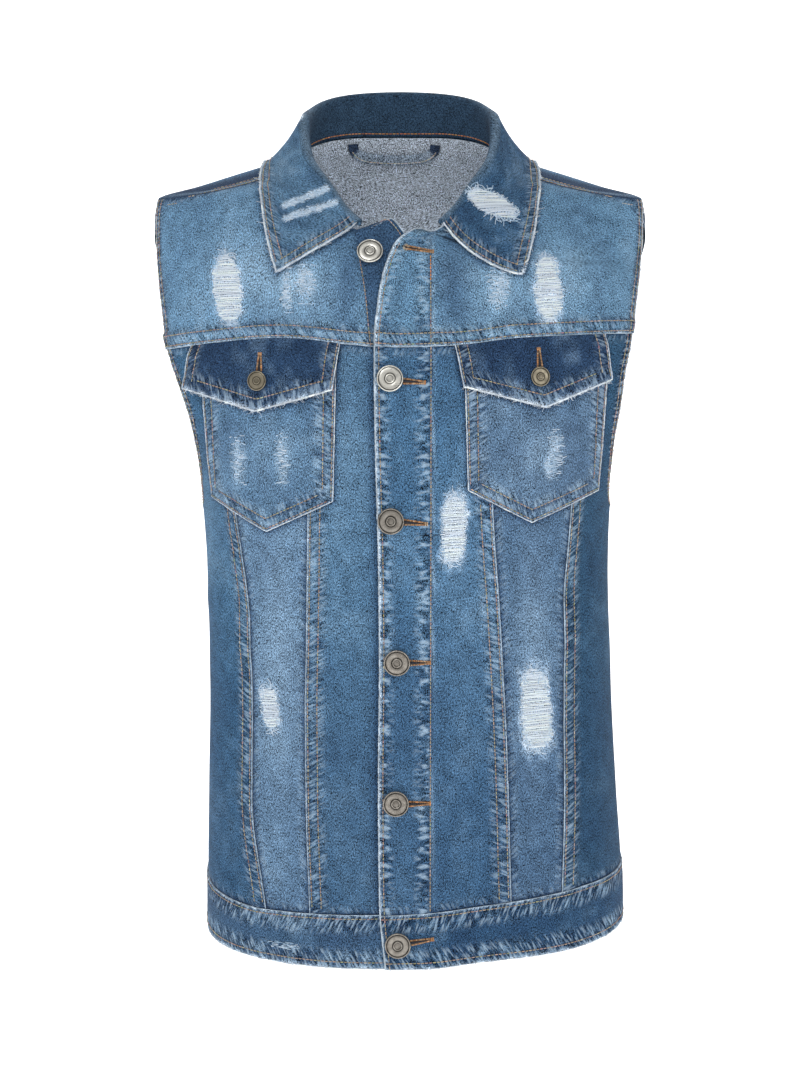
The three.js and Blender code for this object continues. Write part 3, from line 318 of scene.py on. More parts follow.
# Worn places and small parts
RIP_RIM = (164, 188, 212)
RIP_GROUND = (226, 239, 253)
SCUFF_COLOUR = (196, 214, 230)
STROKE_COLOUR = (206, 220, 234)
PATCH_COLOUR = (196, 212, 230)
SPOT_COLOUR = (214, 226, 238)
# Painted light on the collar's half on the wearer's right
COLLAR_LIT = (104, 138, 166)
COLLAR_STAND = (42, 62, 82)
LOOP_COLOUR = np.array((134, 148, 163))
TACK_COLOUR = np.array((44, 58, 80))
PALE_BLUE = np.array((150, 186, 216))
# Painted shade in a buttonhole's slit
SLIT_SHADE = np.array((26, 30, 42))


# Curves

SPAN_POINTS = 24
HASH = (127.1, 311.7, 74.7, 43758.5453)


def ease(start, end, value):
    """A smooth step from 0 at one value to 1 at the other"""
    t = np.clip((value - start) / (end - start), 0, 1)
    return t * t * (3 - 2 * t)


def mix(a, b, t):
    return a + (b - a) * t


def curve_of(rows, column=1):
    """A smooth curve with no overshoot through a table's first column and another"""
    at = np.array([row[0] for row in rows], float)
    value = np.array([row[column] for row in rows], float)
    span = np.diff(at)
    rise = np.diff(value) / span
    before = 2 * span[1:] + span[:-1]
    after = span[1:] + 2 * span[:-1]
    same = rise[:-1] * rise[1:] > 0
    safe = [np.where(same, side, 1) for side in (rise[:-1], rise[1:])]
    inner = (before + after) / (before / safe[0] + after / safe[1])
    slope = np.concatenate([rise[:1], np.where(same, inner, 0), rise[-1:]])

    def curve(wanted):
        where = np.clip(wanted, at[0], at[-1])
        i = np.clip(np.searchsorted(at, where, side="right") - 1, 0, len(span) - 1)
        t = (where - at[i]) / span[i]
        u = 1 - t
        start = u * u * (1 + 2 * t) * value[i] + t * u * u * span[i] * slope[i]
        end = t * t * (3 - 2 * t) * value[i + 1] - t * t * u * span[i] * slope[i + 1]
        return start + end

    return curve


def smooth_line(points, even=False):
    """Points close together on a smooth line through these ones"""
    points = np.asarray(points, float)
    ends = np.vstack([2 * points[0] - points[1], points, 2 * points[-1] - points[-2]])
    t = np.linspace(0, 1, SPAN_POINTS, endpoint=False)[:, None]
    line = []
    for p0, p1, p2, p3 in zip(ends, ends[1:], ends[2:], ends[3:]):
        if even:
            leave = (p2 - p0) / 2
            arrive = (p3 - p1) / 2
        else:
            d0, d1, d2 = (np.linalg.norm(b - a) ** 0.5 for a, b in ((p0, p1), (p1, p2), (p2, p3)))
            leave = ((p1 - p0) / d0 - (p2 - p0) / (d0 + d1) + (p2 - p1) / d1) * d1
            arrive = ((p2 - p1) / d1 - (p3 - p1) / (d1 + d2) + (p3 - p2) / d2) * d1
        start = (2 * t**3 - 3 * t**2 + 1) * p1 + (t**3 - 2 * t**2 + t) * leave
        line.append(start + (3 * t**2 - 2 * t**3) * p2 + (t**3 - t**2) * arrive)
    return np.vstack([*line, points[-1:]])


def along(line, at=None):
    """The point of a line at shares of its length, or of its list where at says so"""
    if at is None:
        steps = np.linalg.norm(np.diff(line, axis=0), axis=1)
        at = np.concatenate([[0], np.cumsum(steps)]) / steps.sum()

    def place(share):
        share = np.asarray(share, float)
        return np.stack([np.interp(share, at, line[:, k]) for k in range(line.shape[1])], -1)

    return place


def noise(x, y, seed=0):
    """Soft random heights from -1 to 1 over a plane, one hump to a unit"""
    x, y = np.broadcast_arrays(np.asarray(x, float), np.asarray(y, float))
    i, j = np.floor(x), np.floor(y)
    u, v = x - i, y - j
    u, v = u * u * (3 - 2 * u), v * v * (3 - 2 * v)

    def corner(a, b):
        wild = np.sin(a * HASH[0] + b * HASH[1] + seed * HASH[2]) * HASH[3]
        return 2 * (wild - np.floor(wild)) - 1

    low = mix(corner(i, j), corner(i + 1, j), u)
    high = mix(corner(i, j + 1), corner(i + 1, j + 1), u)
    return mix(low, high, v)


# The body's surface

SECTION_CURVES = {name: curve_of(SECTIONS, k + 1) for k, name in enumerate(SECTION_NAMES)}
PROBE = 0.4


def section(z):
    return {name: curve(z) for name, curve in SECTION_CURVES.items()}


def front_turn(x, z):
    """Angle about the body of a point of the front at this x and height"""
    level = section(z)
    return np.degrees(np.arcsin(np.clip((x - level["shift"]) / level["half"], -1, 1)))


def fullness(point):
    """Under 1 inside the body that the cloth follows, 1 on it, over 1 outside"""
    level = section(point[..., 2])
    across = np.abs(point[..., 0] - level["shift"]) / level["half"]
    y = point[..., 1] - level["widest"]
    ahead = level["widest"] - level["front"]
    behind = level["back"] - level["widest"]
    deep = np.abs(y) / np.where(y < 0, ahead, behind)
    return across ** level["square"] + deep ** level["square"]


def fullness_slope(point):
    slope = np.empty_like(point)
    for axis in range(3):
        step = np.zeros(3)
        step[axis] = PROBE
        slope[..., axis] = (fullness(point + step) - fullness(point - step)) / (2 * PROBE)
    return slope


def unit(vectors):
    return vectors / np.maximum(np.linalg.norm(vectors, axis=-1, keepdims=True), 1e-9)


def body_point(turn, z):
    level = section(z)
    sine = np.sin(np.radians(turn))
    depth = (1 - np.abs(sine) ** level["square"]) ** (1 / level["square"])
    end = np.where(np.cos(np.radians(turn)) > 0, level["front"], level["back"])
    x = level["shift"] + level["half"] * sine
    y = level["widest"] + (end - level["widest"]) * depth
    return np.stack(np.broadcast_arrays(x, y, z), -1).astype(float)


def fold_height(point, folds=FOLDS):
    height = np.zeros(point.shape[:-1])
    for face, x0, z0, x1, z1, width, rise in folds:
        side = ease(0, FOLD_FADE_Y, point[..., 1] * face)
        run = np.array((x1 - x0, z1 - z0), float)
        length = np.hypot(*run)
        dx, dz = point[..., 0] - x0, point[..., 2] - z0
        forward = (dx * run[0] + dz * run[1]) / length
        off = (dx * run[1] - dz * run[0]) / length
        past = np.maximum(0, np.maximum(-forward, forward - length))
        height += side * rise * np.exp(-((off / width) ** 2) - (past / (FOLD_END_SPREAD * width)) ** 2)
    return height


def cloth_point(turn, z, out):
    """A point of the cloth, moved out from the body along its normal"""
    point = body_point(turn, z)
    normal = unit(fullness_slope(point))
    return point + normal * (out + fold_height(point) + fold_height(point, CREASES))[..., None]


def left_lift(x):
    return FRONT_LIFT * (1 - ease(LIFT_FULL_X, LIFT_END_X, x))


# Borders of the cut

neck_height = curve_of(NECK)
yoke_height = curve_of(FRONT_YOKE)
shoulder_height = curve_of(SHOULDER_SEAM)
band_top = curve_of(HEM, 1)
hem_edge = curve_of(HEM, 2)
back_seam_x = curve_of(BACK_SEAM)
SEAM_X = {
    name: curve_of(FRONT_SEAMS, k + 1)
    for k, name in enumerate(("side_r", "inner_r", "inner_l", "side_l"))
}
SEAM_X.update({f"edge_{side}": curve_of(FRONT_EDGE[side]) for side in "rl"})
MM_PER_TURN = 2.5


def through(places):
    """A border through places, evenly by its length"""
    scale = np.array((MM_PER_TURN, 1))
    place = along(smooth_line(np.asarray(places, float) * scale))
    return lambda share: place(share) / scale


def join(first, second, meeting):
    """Two borders one after the other, which meet at this share of the whole"""

    def joined(share):
        share = np.asarray(share, float)
        start = first(np.clip(share / meeting, 0, 1))
        end = second(np.clip((share - meeting) / (1 - meeting), 0, 1))
        return np.where((share <= meeting)[..., None], start, end)

    return joined


def from_x(x, z):
    return np.stack(np.broadcast_arrays(front_turn(x, z), z), -1)


def front_places(rows):
    x, z = np.array(rows, float).T
    return from_x(x, z)


def seam_z(top, bottom, share):
    above = mix(top, UNDERARM_Z, share / UNDERARM_SHARE)
    below = mix(UNDERARM_Z, bottom, (share - UNDERARM_SHARE) / (1 - UNDERARM_SHARE))
    return np.where(share < UNDERARM_SHARE, above, below)


def front_seam(name):
    seam_x = SEAM_X[name]
    top = yoke_height(seam_x(SEAM_TOP_Z))
    bottom = band_top(front_turn(seam_x(SEAM_LOW_Z), SEAM_LOW_Z))

    def seam(share):
        z = seam_z(top, bottom, np.asarray(share, float))
        return from_x(seam_x(z), z)

    return seam


def side_seam(sign):
    turn = sign * SIDE_SEAM_TURN

    def seam(share):
        z = mix(UNDERARM_Z, band_top(turn), np.asarray(share, float))
        return np.stack(np.broadcast_arrays(turn, z), -1)

    return seam


def shoulder_seam(sign):
    def seam(share):
        x = mix(SHOULDER_SEAM[0][0], SHOULDER_SEAM[-1][0], np.asarray(share, float))
        return from_x(sign * x, shoulder_height(x))

    return seam


def coons(top, bottom, left, right, across, down):
    """Places inside four borders, each from 0 to 1"""
    u = across[None, :, None]
    v = down[:, None, None]
    between = mix(top(across)[None], bottom(across)[None], v)
    beside = mix(left(down)[:, None], right(down)[:, None], u)
    corners = mix(mix(top(0), top(1), u), mix(bottom(0), bottom(1), u), v)
    return between + beside - corners


EDGE_STEP = 0.45
STEP_GROWTH = 1.35

# Steps of the grids, and about how wide and long the pieces are
FRONT_STEP = 2.3
BACK_STEP = 3.0
PANEL_LENGTH = 442
CENTRE_WIDTH = 92
MIDDLE_WIDTH = 46
FLANK_WIDTH = 96
YOKE_WIDTH = 190
YOKE_LENGTH = 120
BACK_YOKE_LENGTH = 170
BAND_LENGTH = 45
FRONT_BAND_WIDTH = 300
BACK_BAND_WIDTH = 560
PATCH_WIDTH = 108
POCKET_LENGTH = 120
FLAP_LENGTH = 45
COLLAR_WIDTH = 560
COLLAR_COLUMNS = 260
FALL_LENGTH = 75
NECK_PART = 0.56


def spread(length, step):
    """Shares of a length, close together near both ends"""
    near = [0.0]
    gap = EDGE_STEP
    while gap < step:
        near.append(near[-1] + gap)
        gap *= STEP_GROWTH
    near = np.array(near)
    count = max(3, int((length - 2 * near[-1]) / step) + 1)
    middle = np.linspace(near[-1], length - near[-1], count)[1:-1]
    return np.concatenate([near, middle, length - near[::-1]]) / length


# Meshes


def to_linear(srgb):
    """Colours of 0 to 255 as linear light"""
    c = np.clip(srgb, 0, 255) / 255
    return np.where(c <= 0.04045, c / 12.92, ((c + 0.055) / 1.055) ** 2.4)


def placed(name, data):
    """A new object in the scene"""
    obj = bpy.data.objects.new(name, data)
    bpy.context.collection.objects.link(obj)
    return obj


def add_uv(mesh, name, uv, faces):
    mesh.uv_layers.new(name=name).data.foreach_set("uv", uv[faces.ravel()].ravel())


def add_object(name, vertices, faces, tints, materials, uv=None, kinds=None, gathers=None):
    """A smooth mesh object, from millimetres, with a colour at every vertex"""
    mesh = bpy.data.meshes.new(name)
    mesh.from_pydata((vertices * MM).tolist(), [], faces.tolist())
    colours = np.ones((len(vertices), 4))
    colours[:, :3] = to_linear(tints)
    mesh.attributes.new("tint", "FLOAT_COLOR", "POINT").data.foreach_set("color", colours.ravel())
    if uv is not None:
        add_uv(mesh, "UVMap", uv, faces)
    if gathers is not None:
        amount, seam_uv = gathers
        mesh.attributes.new("gathers", "FLOAT", "POINT").data.foreach_set("value", amount)
        add_uv(mesh, "seams", seam_uv, faces)
    for material in materials:
        mesh.materials.append(material)
    if kinds is not None:
        mesh.polygons.foreach_set("material_index", kinds)
    mesh.polygons.foreach_set("use_smooth", np.ones(len(faces), bool))
    mesh.update()
    obj = placed(name, mesh)
    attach(obj, "root")
    return obj


def grid_faces(rows, columns, start=0, flip=False):
    """Four-sided faces of a grid of vertices"""
    index = start + np.arange(rows * columns).reshape(rows, columns)
    faces = np.stack([index[:-1, :-1], index[1:, :-1], index[1:, 1:], index[:-1, 1:]], -1)
    faces = faces.reshape(-1, 4)
    return faces[:, ::-1] if flip else faces


def rim_faces(rows, columns):
    """Faces that join the borders of two grids, one after the other in the list"""
    index = np.arange(rows * columns).reshape(rows, columns)
    border = np.concatenate([index[0, :-1], index[:-1, -1], index[-1, :0:-1], index[:0:-1, 0]])
    ahead = np.roll(border, -1)
    under = rows * columns
    return np.stack([border, ahead, ahead + under, border + under], -1)


def solid_grid(outer, inner):
    """Vertices and faces of a wall between two grids"""
    rows, columns, _ = outer.shape
    faces = np.vstack([
        grid_faces(rows, columns),
        grid_faces(rows, columns, rows * columns, flip=True),
        rim_faces(rows, columns),
    ])
    return stacked(outer, inner), faces


def stacked(first, second):
    """Two grids of values as one list, in the order of a wall's vertices"""
    return np.vstack([grid.reshape(-1, grid.shape[-1]) for grid in (first, second)])


def grid_normals(points):
    down = np.gradient(points, axis=0)
    across = np.gradient(points, axis=1)
    return unit(np.cross(down, across))


def ring(side, up, count):
    """Directions all round, from two that are square to each other"""
    angle = np.arange(count) * 2 * np.pi / count
    return side[..., None, :] * np.cos(angle)[:, None] + up[..., None, :] * np.sin(angle)[:, None]


def tube_faces(*shape):
    """Faces between the rings of tubes, from the numbers of tubes, rings and sides"""
    index = np.arange(np.prod(shape)).reshape(shape)
    around = np.roll(index, -1, axis=-1)
    corners = [index[..., :-1, :], around[..., :-1, :], around[..., 1:, :], index[..., 1:, :]]
    return np.stack(corners, -1).reshape(-1, 4)


def strands(name, lines, normals, radius, tints, sides):
    """Thin tubes along lines of the same number of points, all in one mesh"""
    count, steps, _ = lines.shape
    forward = unit(np.gradient(lines, axis=1))
    side = unit(np.cross(forward, normals[:, None, :]))
    up = np.cross(side, forward)
    vertices = lines[:, :, None] + ring(side, up, sides) * radius[:, :, None, None]
    faces = tube_faces(count, steps, sides)
    colours = np.repeat(tints, steps * sides, axis=0)
    return add_object(name, vertices.reshape(-1, 3), faces, colours, [THREAD])


# Materials


class Shader:
    """A material and the nodes that make its look"""

    def __init__(self, name):
        self.material = bpy.data.materials.new(name)
        self.material.use_nodes = True
        self.tree = self.material.node_tree
        self.surface = self.tree.nodes["Principled BSDF"]

    def join(self, node, inputs):
        """Link outputs to a node's sockets, and set the constants on theirs"""
        for key, value in inputs.items():
            if hasattr(value, "links"):
                self.tree.links.new(value, node.inputs[key])
            else:
                node.inputs[key].default_value = value

    def add(self, kind, output, inputs=None, **settings):
        """One output of a new node"""
        node = self.tree.nodes.new("ShaderNode" + kind)
        for key, value in settings.items():
            setattr(node, key, value)
        self.join(node, inputs or {})
        return node.outputs[output]

    def attribute(self, name, output="Fac"):
        return self.add("Attribute", output, attribute_name=name)

    def place(self, name="UVMap"):
        return self.add("UVMap", "UV", uv_map=name)

    def cloth_noise(self, scale, detail):
        """Noise over the cloth's own length and width, stretched along the warp"""
        place = self.add("Mapping", "Vector", {"Vector": self.place(), "Scale": scale})
        return self.add("TexNoise", "Fac", {"Vector": place, "Scale": 1.0, "Detail": detail})

    def diagonal(self, inputs):
        return self.add("TexWave", "Fac", inputs, bands_direction="DIAGONAL")

    def fit(self, value, low, high, to_low, to_high):
        """A value moved from one range to another"""
        limits = {"From Min": low, "From Max": high, "To Min": to_low, "To Max": to_high}
        return self.add("MapRange", "Result", {"Value": value, **limits})

    def mix(self, kind, factor, first, second):
        inputs = {0: factor, 6: first, 7: second}
        return self.add("Mix", 2, inputs, data_type="RGBA", blend_type=kind)

    def math(self, operation, first, second):
        return self.add("Math", 0, {0: first, 1: second}, operation=operation)

    def grey(self, value):
        return self.add("CombineColor", 0, dict.fromkeys(range(3), value))

    def bump(self, height, strength, distance):
        return self.add("Bump", "Normal", {"Height": height, "Strength": strength, "Distance": distance})

    def finish(self, inputs):
        self.join(self.surface, inputs)
        return self.material


PALE_CREST = (0.42, 0.56, 0.7, 1)


def denim_material(name, twill_strength, twill_scale, fleck_strength, grain):
    """Indigo twill: pale weft flecks, warp slubs and diagonal lines over each vertex's colour, which holds
    the cloth's own colour and painted shade
    """
    shader = Shader(name)
    tint = shader.attribute("tint", "Color")
    slubs = shader.cloth_noise((1.2, 0.45, 1), 2.0)
    yarns = shader.cloth_noise((1.1, 0.8, 1), 2.0)
    clouds = shader.cloth_noise((0.11, 0.08, 1), 3.0)
    flecks = shader.cloth_noise((0.8, 1.2, 1), 1.0)
    lines = {"Scale": twill_scale, "Distortion": 1.2, "Detail": 2.0, "Detail Scale": 1.4}
    twill = shader.diagonal({"Vector": shader.place(), **lines})
    shade = shader.fit(yarns, 0.3, 0.7, 1 - grain, 1 + grain)
    parts = (
        (slubs, 0.3, 0.7, -0.5 * grain, 0.5 * grain),
        (clouds, 0.3, 0.7, -0.22, 0.22),
        (flecks, 0.58, 0.74, 0, fleck_strength),
        (twill, 0, 1, -twill_strength, twill_strength),
    )
    for part in parts:
        shade = shader.math("ADD", shade, shader.fit(*part))
    amount = shader.attribute("gathers")
    gathers = shader.add("TexNoise", "Fac", {"Vector": shader.place("seams"), "Scale": 1.0, "Detail": 2.0})
    dips = shader.math("MULTIPLY", amount, shader.fit(gathers, 0.34, 0.5, -0.5, 0))
    crests = shader.math("MULTIPLY", amount, shader.fit(gathers, 0.5, 0.66, 0, 1))
    crests = shader.math("MULTIPLY", crests, 0.5)
    shade = shader.grey(shader.math("ADD", shade, dips))
    colour = shader.mix("MULTIPLY", 1.0, tint, shade)
    relief = shader.math("ADD", shader.math("ADD", twill, yarns), crests)
    return shader.finish({
        "Base Color": shader.mix("MIX", crests, colour, PALE_CREST),
        "Roughness": 0.9,
        "Specular IOR Level": 0.1,
        "Sheen Weight": 0.03,
        "Normal": shader.bump(relief, 0.45, 0.0004),
    })


def thread_material():
    """Twisted sewing thread and loose yarn, in the colour of each strand"""
    shader = Shader("thread")
    place = shader.add("TexCoord", "Object")
    twist = shader.diagonal({"Vector": place, "Scale": 900.0, "Distortion": 2.0})
    shade = shader.grey(shader.fit(twist, 0, 1, 0.8, 1.1))
    return shader.finish({
        "Base Color": shader.mix("MULTIPLY", 1.0, shader.attribute("tint", "Color"), shade),
        "Roughness": 0.7,
        "Normal": shader.bump(twist, 0.3, 0.0001),
    })


def metal_material(name, bright, dark, roughness):
    """Worn metal: bright on its ridges, dull and dark in its grooves and patches"""
    shader = Shader(name)
    place = shader.add("TexCoord", "Object")
    patches = shader.add("TexNoise", "Fac", {"Vector": place, "Scale": 260.0, "Detail": 5.0})
    colour = shader.mix("MIX", shader.fit(patches, 0.35, 0.65, 0, 0.55), bright, dark)
    return shader.finish({
        "Base Color": shader.mix("MULTIPLY", 1.0, colour, shader.attribute("tint", "Color")),
        "Roughness": shader.fit(patches, 0.3, 0.7, roughness, roughness + 0.2),
        "Metallic": 1.0,
    })


DENIM = denim_material("denim_face", 0.1, 0.34, 0.8, 0.95)
DENIM_BACK = denim_material("denim_reverse", 0.1, 0.3, 0.6, 1.3)
THREAD = thread_material()
METALS = {
    "silver": metal_material("silver", (0.8, 0.79, 0.73, 1), (0.5, 0.48, 0.43, 1), 0.25),
    "bronze": metal_material("bronze", (0.36, 0.335, 0.3, 1), (0.14, 0.12, 0.1, 1), 0.3),
    "brass": metal_material("brass", (0.36, 0.32, 0.24, 1), (0.13, 0.115, 0.085, 1), 0.3),
}


# Cloth panels


def cumulative(points, axis):
    """Distances along the rows or the columns of a grid"""
    steps = np.linalg.norm(np.diff(points, axis=axis), axis=-1)
    pad = [(0, 0), (0, 0)]
    pad[axis] = (1, 0)
    return np.cumsum(np.pad(steps, pad), axis=axis)


def cut_area(points, whole):
    """A grid's area in square metres, within what its whole rectangle allows"""
    down = np.diff(points, axis=0)[:, :-1]
    across = np.diff(points, axis=1)[:-1]
    area = float(np.linalg.norm(np.cross(down, across), axis=-1).sum()) * MM * MM
    return min(max(area, LEAST_AREA_SHARE * whole), whole)


def bell(distance, width):
    """1 at a distance of 0, and less further out"""
    return np.exp(-((distance / width) ** 2))


class Tinted:
    """Colours over a grid of places"""

    def __init__(self, shape, colour):
        self.tint = np.broadcast_to(np.asarray(colour, float), shape + (3,)).copy()

    def toward(self, colour, amount):
        """Move the colour towards another by an amount from 0 to 1"""
        self.tint += (np.asarray(colour, float) - self.tint) * np.clip(amount, 0, 1)[..., None]

    def shade(self, amount):
        """Lighter towards worn denim where the amount is over 0, darker where it is under"""
        self.toward(WORN, np.maximum(amount, 0))
        self.toward(INK_AND_SHADE, np.maximum(-amount, 0))


def seam_marks(amount, uv):
    """The gathers of a wall's outer face, with none on its inner face"""
    amount = amount.ravel()
    return np.concatenate([amount, 0 * amount]), stacked(uv, uv)


class Panel(Tinted):
    """One piece of cloth: a fine grid of places with its distances in from the four edges"""

    def __init__(self, name, places, colour, wall=CLOTH, slot="denim"):
        self.name = name
        self.slot = slot
        self.turn = places[..., 0]
        self.z = places[..., 1]
        body = body_point(self.turn, self.z)
        self.x = body[..., 0]
        self.y = body[..., 1]
        across = cumulative(body, 1)
        down = cumulative(body, 0)
        self.inside = {
            "left": across,
            "right": across[:, -1:] - across,
            "top": down,
            "bottom": down[-1:] - down,
        }
        self.along = {"left": down, "right": down, "top": across, "bottom": across}
        self.out = np.zeros(self.x.shape)
        self.wall = np.full(self.x.shape, float(wall))
        self.gathers = np.zeros(self.x.shape)
        self.seam_uv = np.zeros(self.x.shape + (2,))
        self.seed = sum(ord(letter) for letter in name) % 97
        super().__init__(self.x.shape, colour)

    def nearest(self, borders):
        """Distance in from the nearest of some borders"""
        return np.minimum.reduce([self.inside[border] for border in borders])

    def finish(self):
        """Make the solid piece from its outer and inner faces"""
        gap = ease(0, 1, self.nearest(self.inside) / SEAM_ROUND)
        outer = cloth_point(self.turn, self.z, self.out - SEAM_SINK * (1 - gap))
        inner = cloth_point(self.turn, self.z, self.out - self.wall)
        self.points = outer
        self.normals = grid_normals(outer)
        rows, columns = self.x.shape
        face_count = (rows - 1) * (columns - 1)
        vertices, faces = solid_grid(outer, inner)
        kinds = np.zeros(len(faces), int)
        kinds[face_count:2 * face_count] = 1
        tints = stacked(self.tint, np.broadcast_to(INSIDE, self.tint.shape))
        uv = np.stack([self.along["top"], self.along["left"]], -1)
        obj = add_object(
            self.name + "_cloth", vertices, faces, tints, [DENIM, DENIM_BACK],
            stacked(uv, uv), kinds, seam_marks(self.gathers, self.seam_uv),
        )
        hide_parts(self.name)
        width = float(self.along["top"][:, -1].max()) * MM
        length = float(self.along["left"][-1].max()) * MM
        cut_area(outer, width * length)


def line_at(panel, field, value, along_rows=True):
    """Where a field crosses a value, one point in each row, or each column, of a panel"""
    values = field if along_rows else field.T
    points = panel.points if along_rows else panel.points.transpose(1, 0, 2)
    normals = panel.normals if along_rows else panel.normals.transpose(1, 0, 2)
    line, up = [], []
    for field_row, point_row, normal_row in zip(values, points, normals):
        signs = np.nonzero((field_row[:-1] - value) * (field_row[1:] - value) <= 0)[0]
        if len(signs) == 0:
            continue
        k = signs[0]
        span = field_row[k + 1] - field_row[k]
        t = 0.5 if span == 0 else (value - field_row[k]) / span
        line.append(mix(point_row[k], point_row[k + 1], t))
        up.append(mix(normal_row[k], normal_row[k + 1], t))
    return np.array(line), unit(np.array(up))


# Sewing


class Strands:
    """Thin round yarns, gathered and then made into one mesh"""

    def __init__(self):
        self.rows = []

    def add(self, points, normals, radius, tints):
        count, steps, _ = points.shape
        radius = np.broadcast_to(radius, (count, steps))
        tints = np.clip(np.broadcast_to(tints, (count, 3)), 0, 255)
        self.rows.append((points, normals, radius, tints))

    def make(self, name, sides=4):
        points, normals, radius, tints = (np.concatenate(part) for part in zip(*self.rows))
        self.rows.clear()
        obj = strands(name, points, normals, radius, tints, sides)


random = np.random.default_rng(7)
STITCHES = Strands()
WRAPS = Strands()
YARNS = Strands()
YARN_POINTS = 6
CORD_STEP = 1.2

# A stitch: its distance from the next one, its length and its radius, then its profile
STITCH_PITCH = 3.1
STITCH_LENGTH = 2.5
STITCH_RADIUS = 0.42
STITCH_SHAPE = np.array((-0.5, -0.28, 0.28, 0.5))
STITCH_RISE = np.array((-0.12, 0.34, 0.34, -0.12))
STITCH_THICKNESS = np.array((0.5, 1, 1, 0.5))

# Rows of stitches, as distances in from an edge
SEAM_ROWS = (2.0, 9.5)
YOKE_ROWS = (2.0, 10.0)
HEM_ROWS = (2.2, 6.4)
PATCH_ROWS = (1.8, 9.0)
COLLAR_ROWS = (2.6, 8.2)
SHOULDER_ROWS = (1.8, 6.6)
EDGE_ROW = 3.2
BAND_ROWS = {"top": 3.0, "bottom": 5.0}

# Worn cords: radius, wander and colour
SEAM_CORD = (0.42, 0.12, SEAM_EDGE)
PATCH_CORD = (0.42, 0.12)
STAND_CORD = (0.8, 0.08, STAND_EDGE)
CORNER_CORD = (0.6, 0.1, STAND_EDGE)
ARM_CORD = (0.45, 0.25)
FLAP_CORD = (0.85, 0.35)
BAND_CORD = (0.6, 0.3)
COLLAR_CORD = (0.7, 0.3)


def measured(line):
    """Distances along a line of points"""
    steps = np.linalg.norm(np.diff(line, axis=0), axis=1)
    return np.concatenate([[0], np.cumsum(steps)])


def sew(line, normals, colour=TAN, start=0.0, end=1.0):
    """A row of stitches along a line on the cloth"""
    at = measured(line)
    half = STITCH_PITCH / 2
    middle = np.arange(start * at[-1] + half, end * at[-1] - half, STITCH_PITCH)
    if len(middle) == 0:
        return
    shares = middle[:, None] + STITCH_SHAPE * STITCH_LENGTH
    up = unit(along(normals, at)(shares))
    points = along(line, at)(shares) + up * STITCH_RISE[None, :, None]
    vary = random.normal(0, 16, (len(middle), 1)) + random.normal(0, 7, (len(middle), 3))
    STITCHES.add(points, up[:, 1], STITCH_THICKNESS * STITCH_RADIUS, np.asarray(colour) + vary)


def sew_rows(panel, border, rows, keep=None, **limits):
    """Rows of stitches beside a border, or on the part of each row that is kept"""
    for row in rows:
        line, up = line_at(panel, panel.inside[border], row, border in ("left", "right"))
        part = slice(None) if keep is None else keep(line)
        sew(line[part], up[part], **limits)


def fray(line, normals, outward, per_mm, length, spread=0.5):
    """Loose ends of yarn along a raw edge"""
    at = measured(line)
    count = int(at[-1] * per_mm)
    where = random.uniform(0, at[-1], count)
    start = along(line, at)(where)
    up = unit(along(normals, at)(where))
    away = unit(along(outward, at)(where))
    beside = np.cross(up, away)
    reach = length * random.gamma(2.2, 0.45, count)[:, None, None]
    lean = random.normal(0, spread, count)[:, None, None]
    bend = random.normal(0, spread, count)[:, None, None]
    t = np.linspace(0, 1, YARN_POINTS)[None, :, None]
    wave = lean * t + bend * t**2
    points = start[:, None] + reach * (away[:, None] * t + beside[:, None] * wave)
    points += up[:, None] * (0.25 + 0.3 * reach * random.normal(0, 0.5, (count, 1, 1)) * t)
    points -= away[:, None] * 0.5
    radius = random.uniform(0.14, 0.26, (count, 1)) * np.linspace(1.1, 0.6, YARN_POINTS)
    tints = WHITE_THREAD * random.uniform(0.78, 1.05, (count, 1))
    YARNS.add(points, up, radius, tints)


def cord(line, normals, radius, wander, colour=WHITE_THREAD, start=0.0):
    """A worn edge: one thick, uneven pale yarn after another along a line"""
    at = measured(line)
    length = (1 - start) * at[-1]
    count = max(1, int(length / CORD_STEP / (YARN_POINTS - 1)))
    first = start * at[-1] + np.arange(count) * length / count
    shares = first[:, None] + np.linspace(0, 1.06, YARN_POINTS) * length / count
    up = unit(along(normals, at)(shares))
    points = along(line, at)(shares) + up * random.normal(0, wander, (count, YARN_POINTS, 1))
    thick = radius * random.uniform(0.65, 1.25, (count, YARN_POINTS))
    tints = np.asarray(colour) * random.uniform(0.8, 1.08, (count, 1))
    YARNS.add(points, up[:, 2], thick, tints)


def border_line(panel, border):
    """A panel's border: its points, normals and the way out of the cloth"""
    rows = {
        "left": (np.s_[:, 0], np.s_[:, 4]),
        "right": (np.s_[:, -1], np.s_[:, -5]),
        "top": (np.s_[0], np.s_[4]),
        "bottom": (np.s_[-1], np.s_[-5]),
    }
    edge, within = rows[border]
    return panel.points[edge], panel.normals[within], unit(panel.points[edge] - panel.points[within])


def cord_edge(panel, border, style, keep=None, **limits):
    """A worn cord along a border, or on the part of it that is kept"""
    line, up, _ = border_line(panel, border)
    part = slice(None) if keep is None else keep(line)
    cord(line[part], up[part], *style, **limits)


def below(z):
    return lambda line: line[:, 2] < z


def above(z):
    return lambda line: line[:, 2] > z


# Wear of the cloth

# Lengths of the fine gathers along a seam, along the button stand's rows and away from either
GATHER_STEP = 2.1
STAND_GATHER_STEP = 3.4
GATHER_LENGTH = 9.0


def ripples(run, distance, period, depth, seed, wide=(9, 8), wide_amount=0.6, wide_seed=None):
    """Fine ripples with wide ones under them, over the distance along and away from a seam"""
    wide_seed = seed + 1 if wide_seed is None else wide_seed
    fine = noise(run / period, distance / depth, seed)
    return fine + wide_amount * noise(run / wide[0], distance / wide[1], wide_seed)


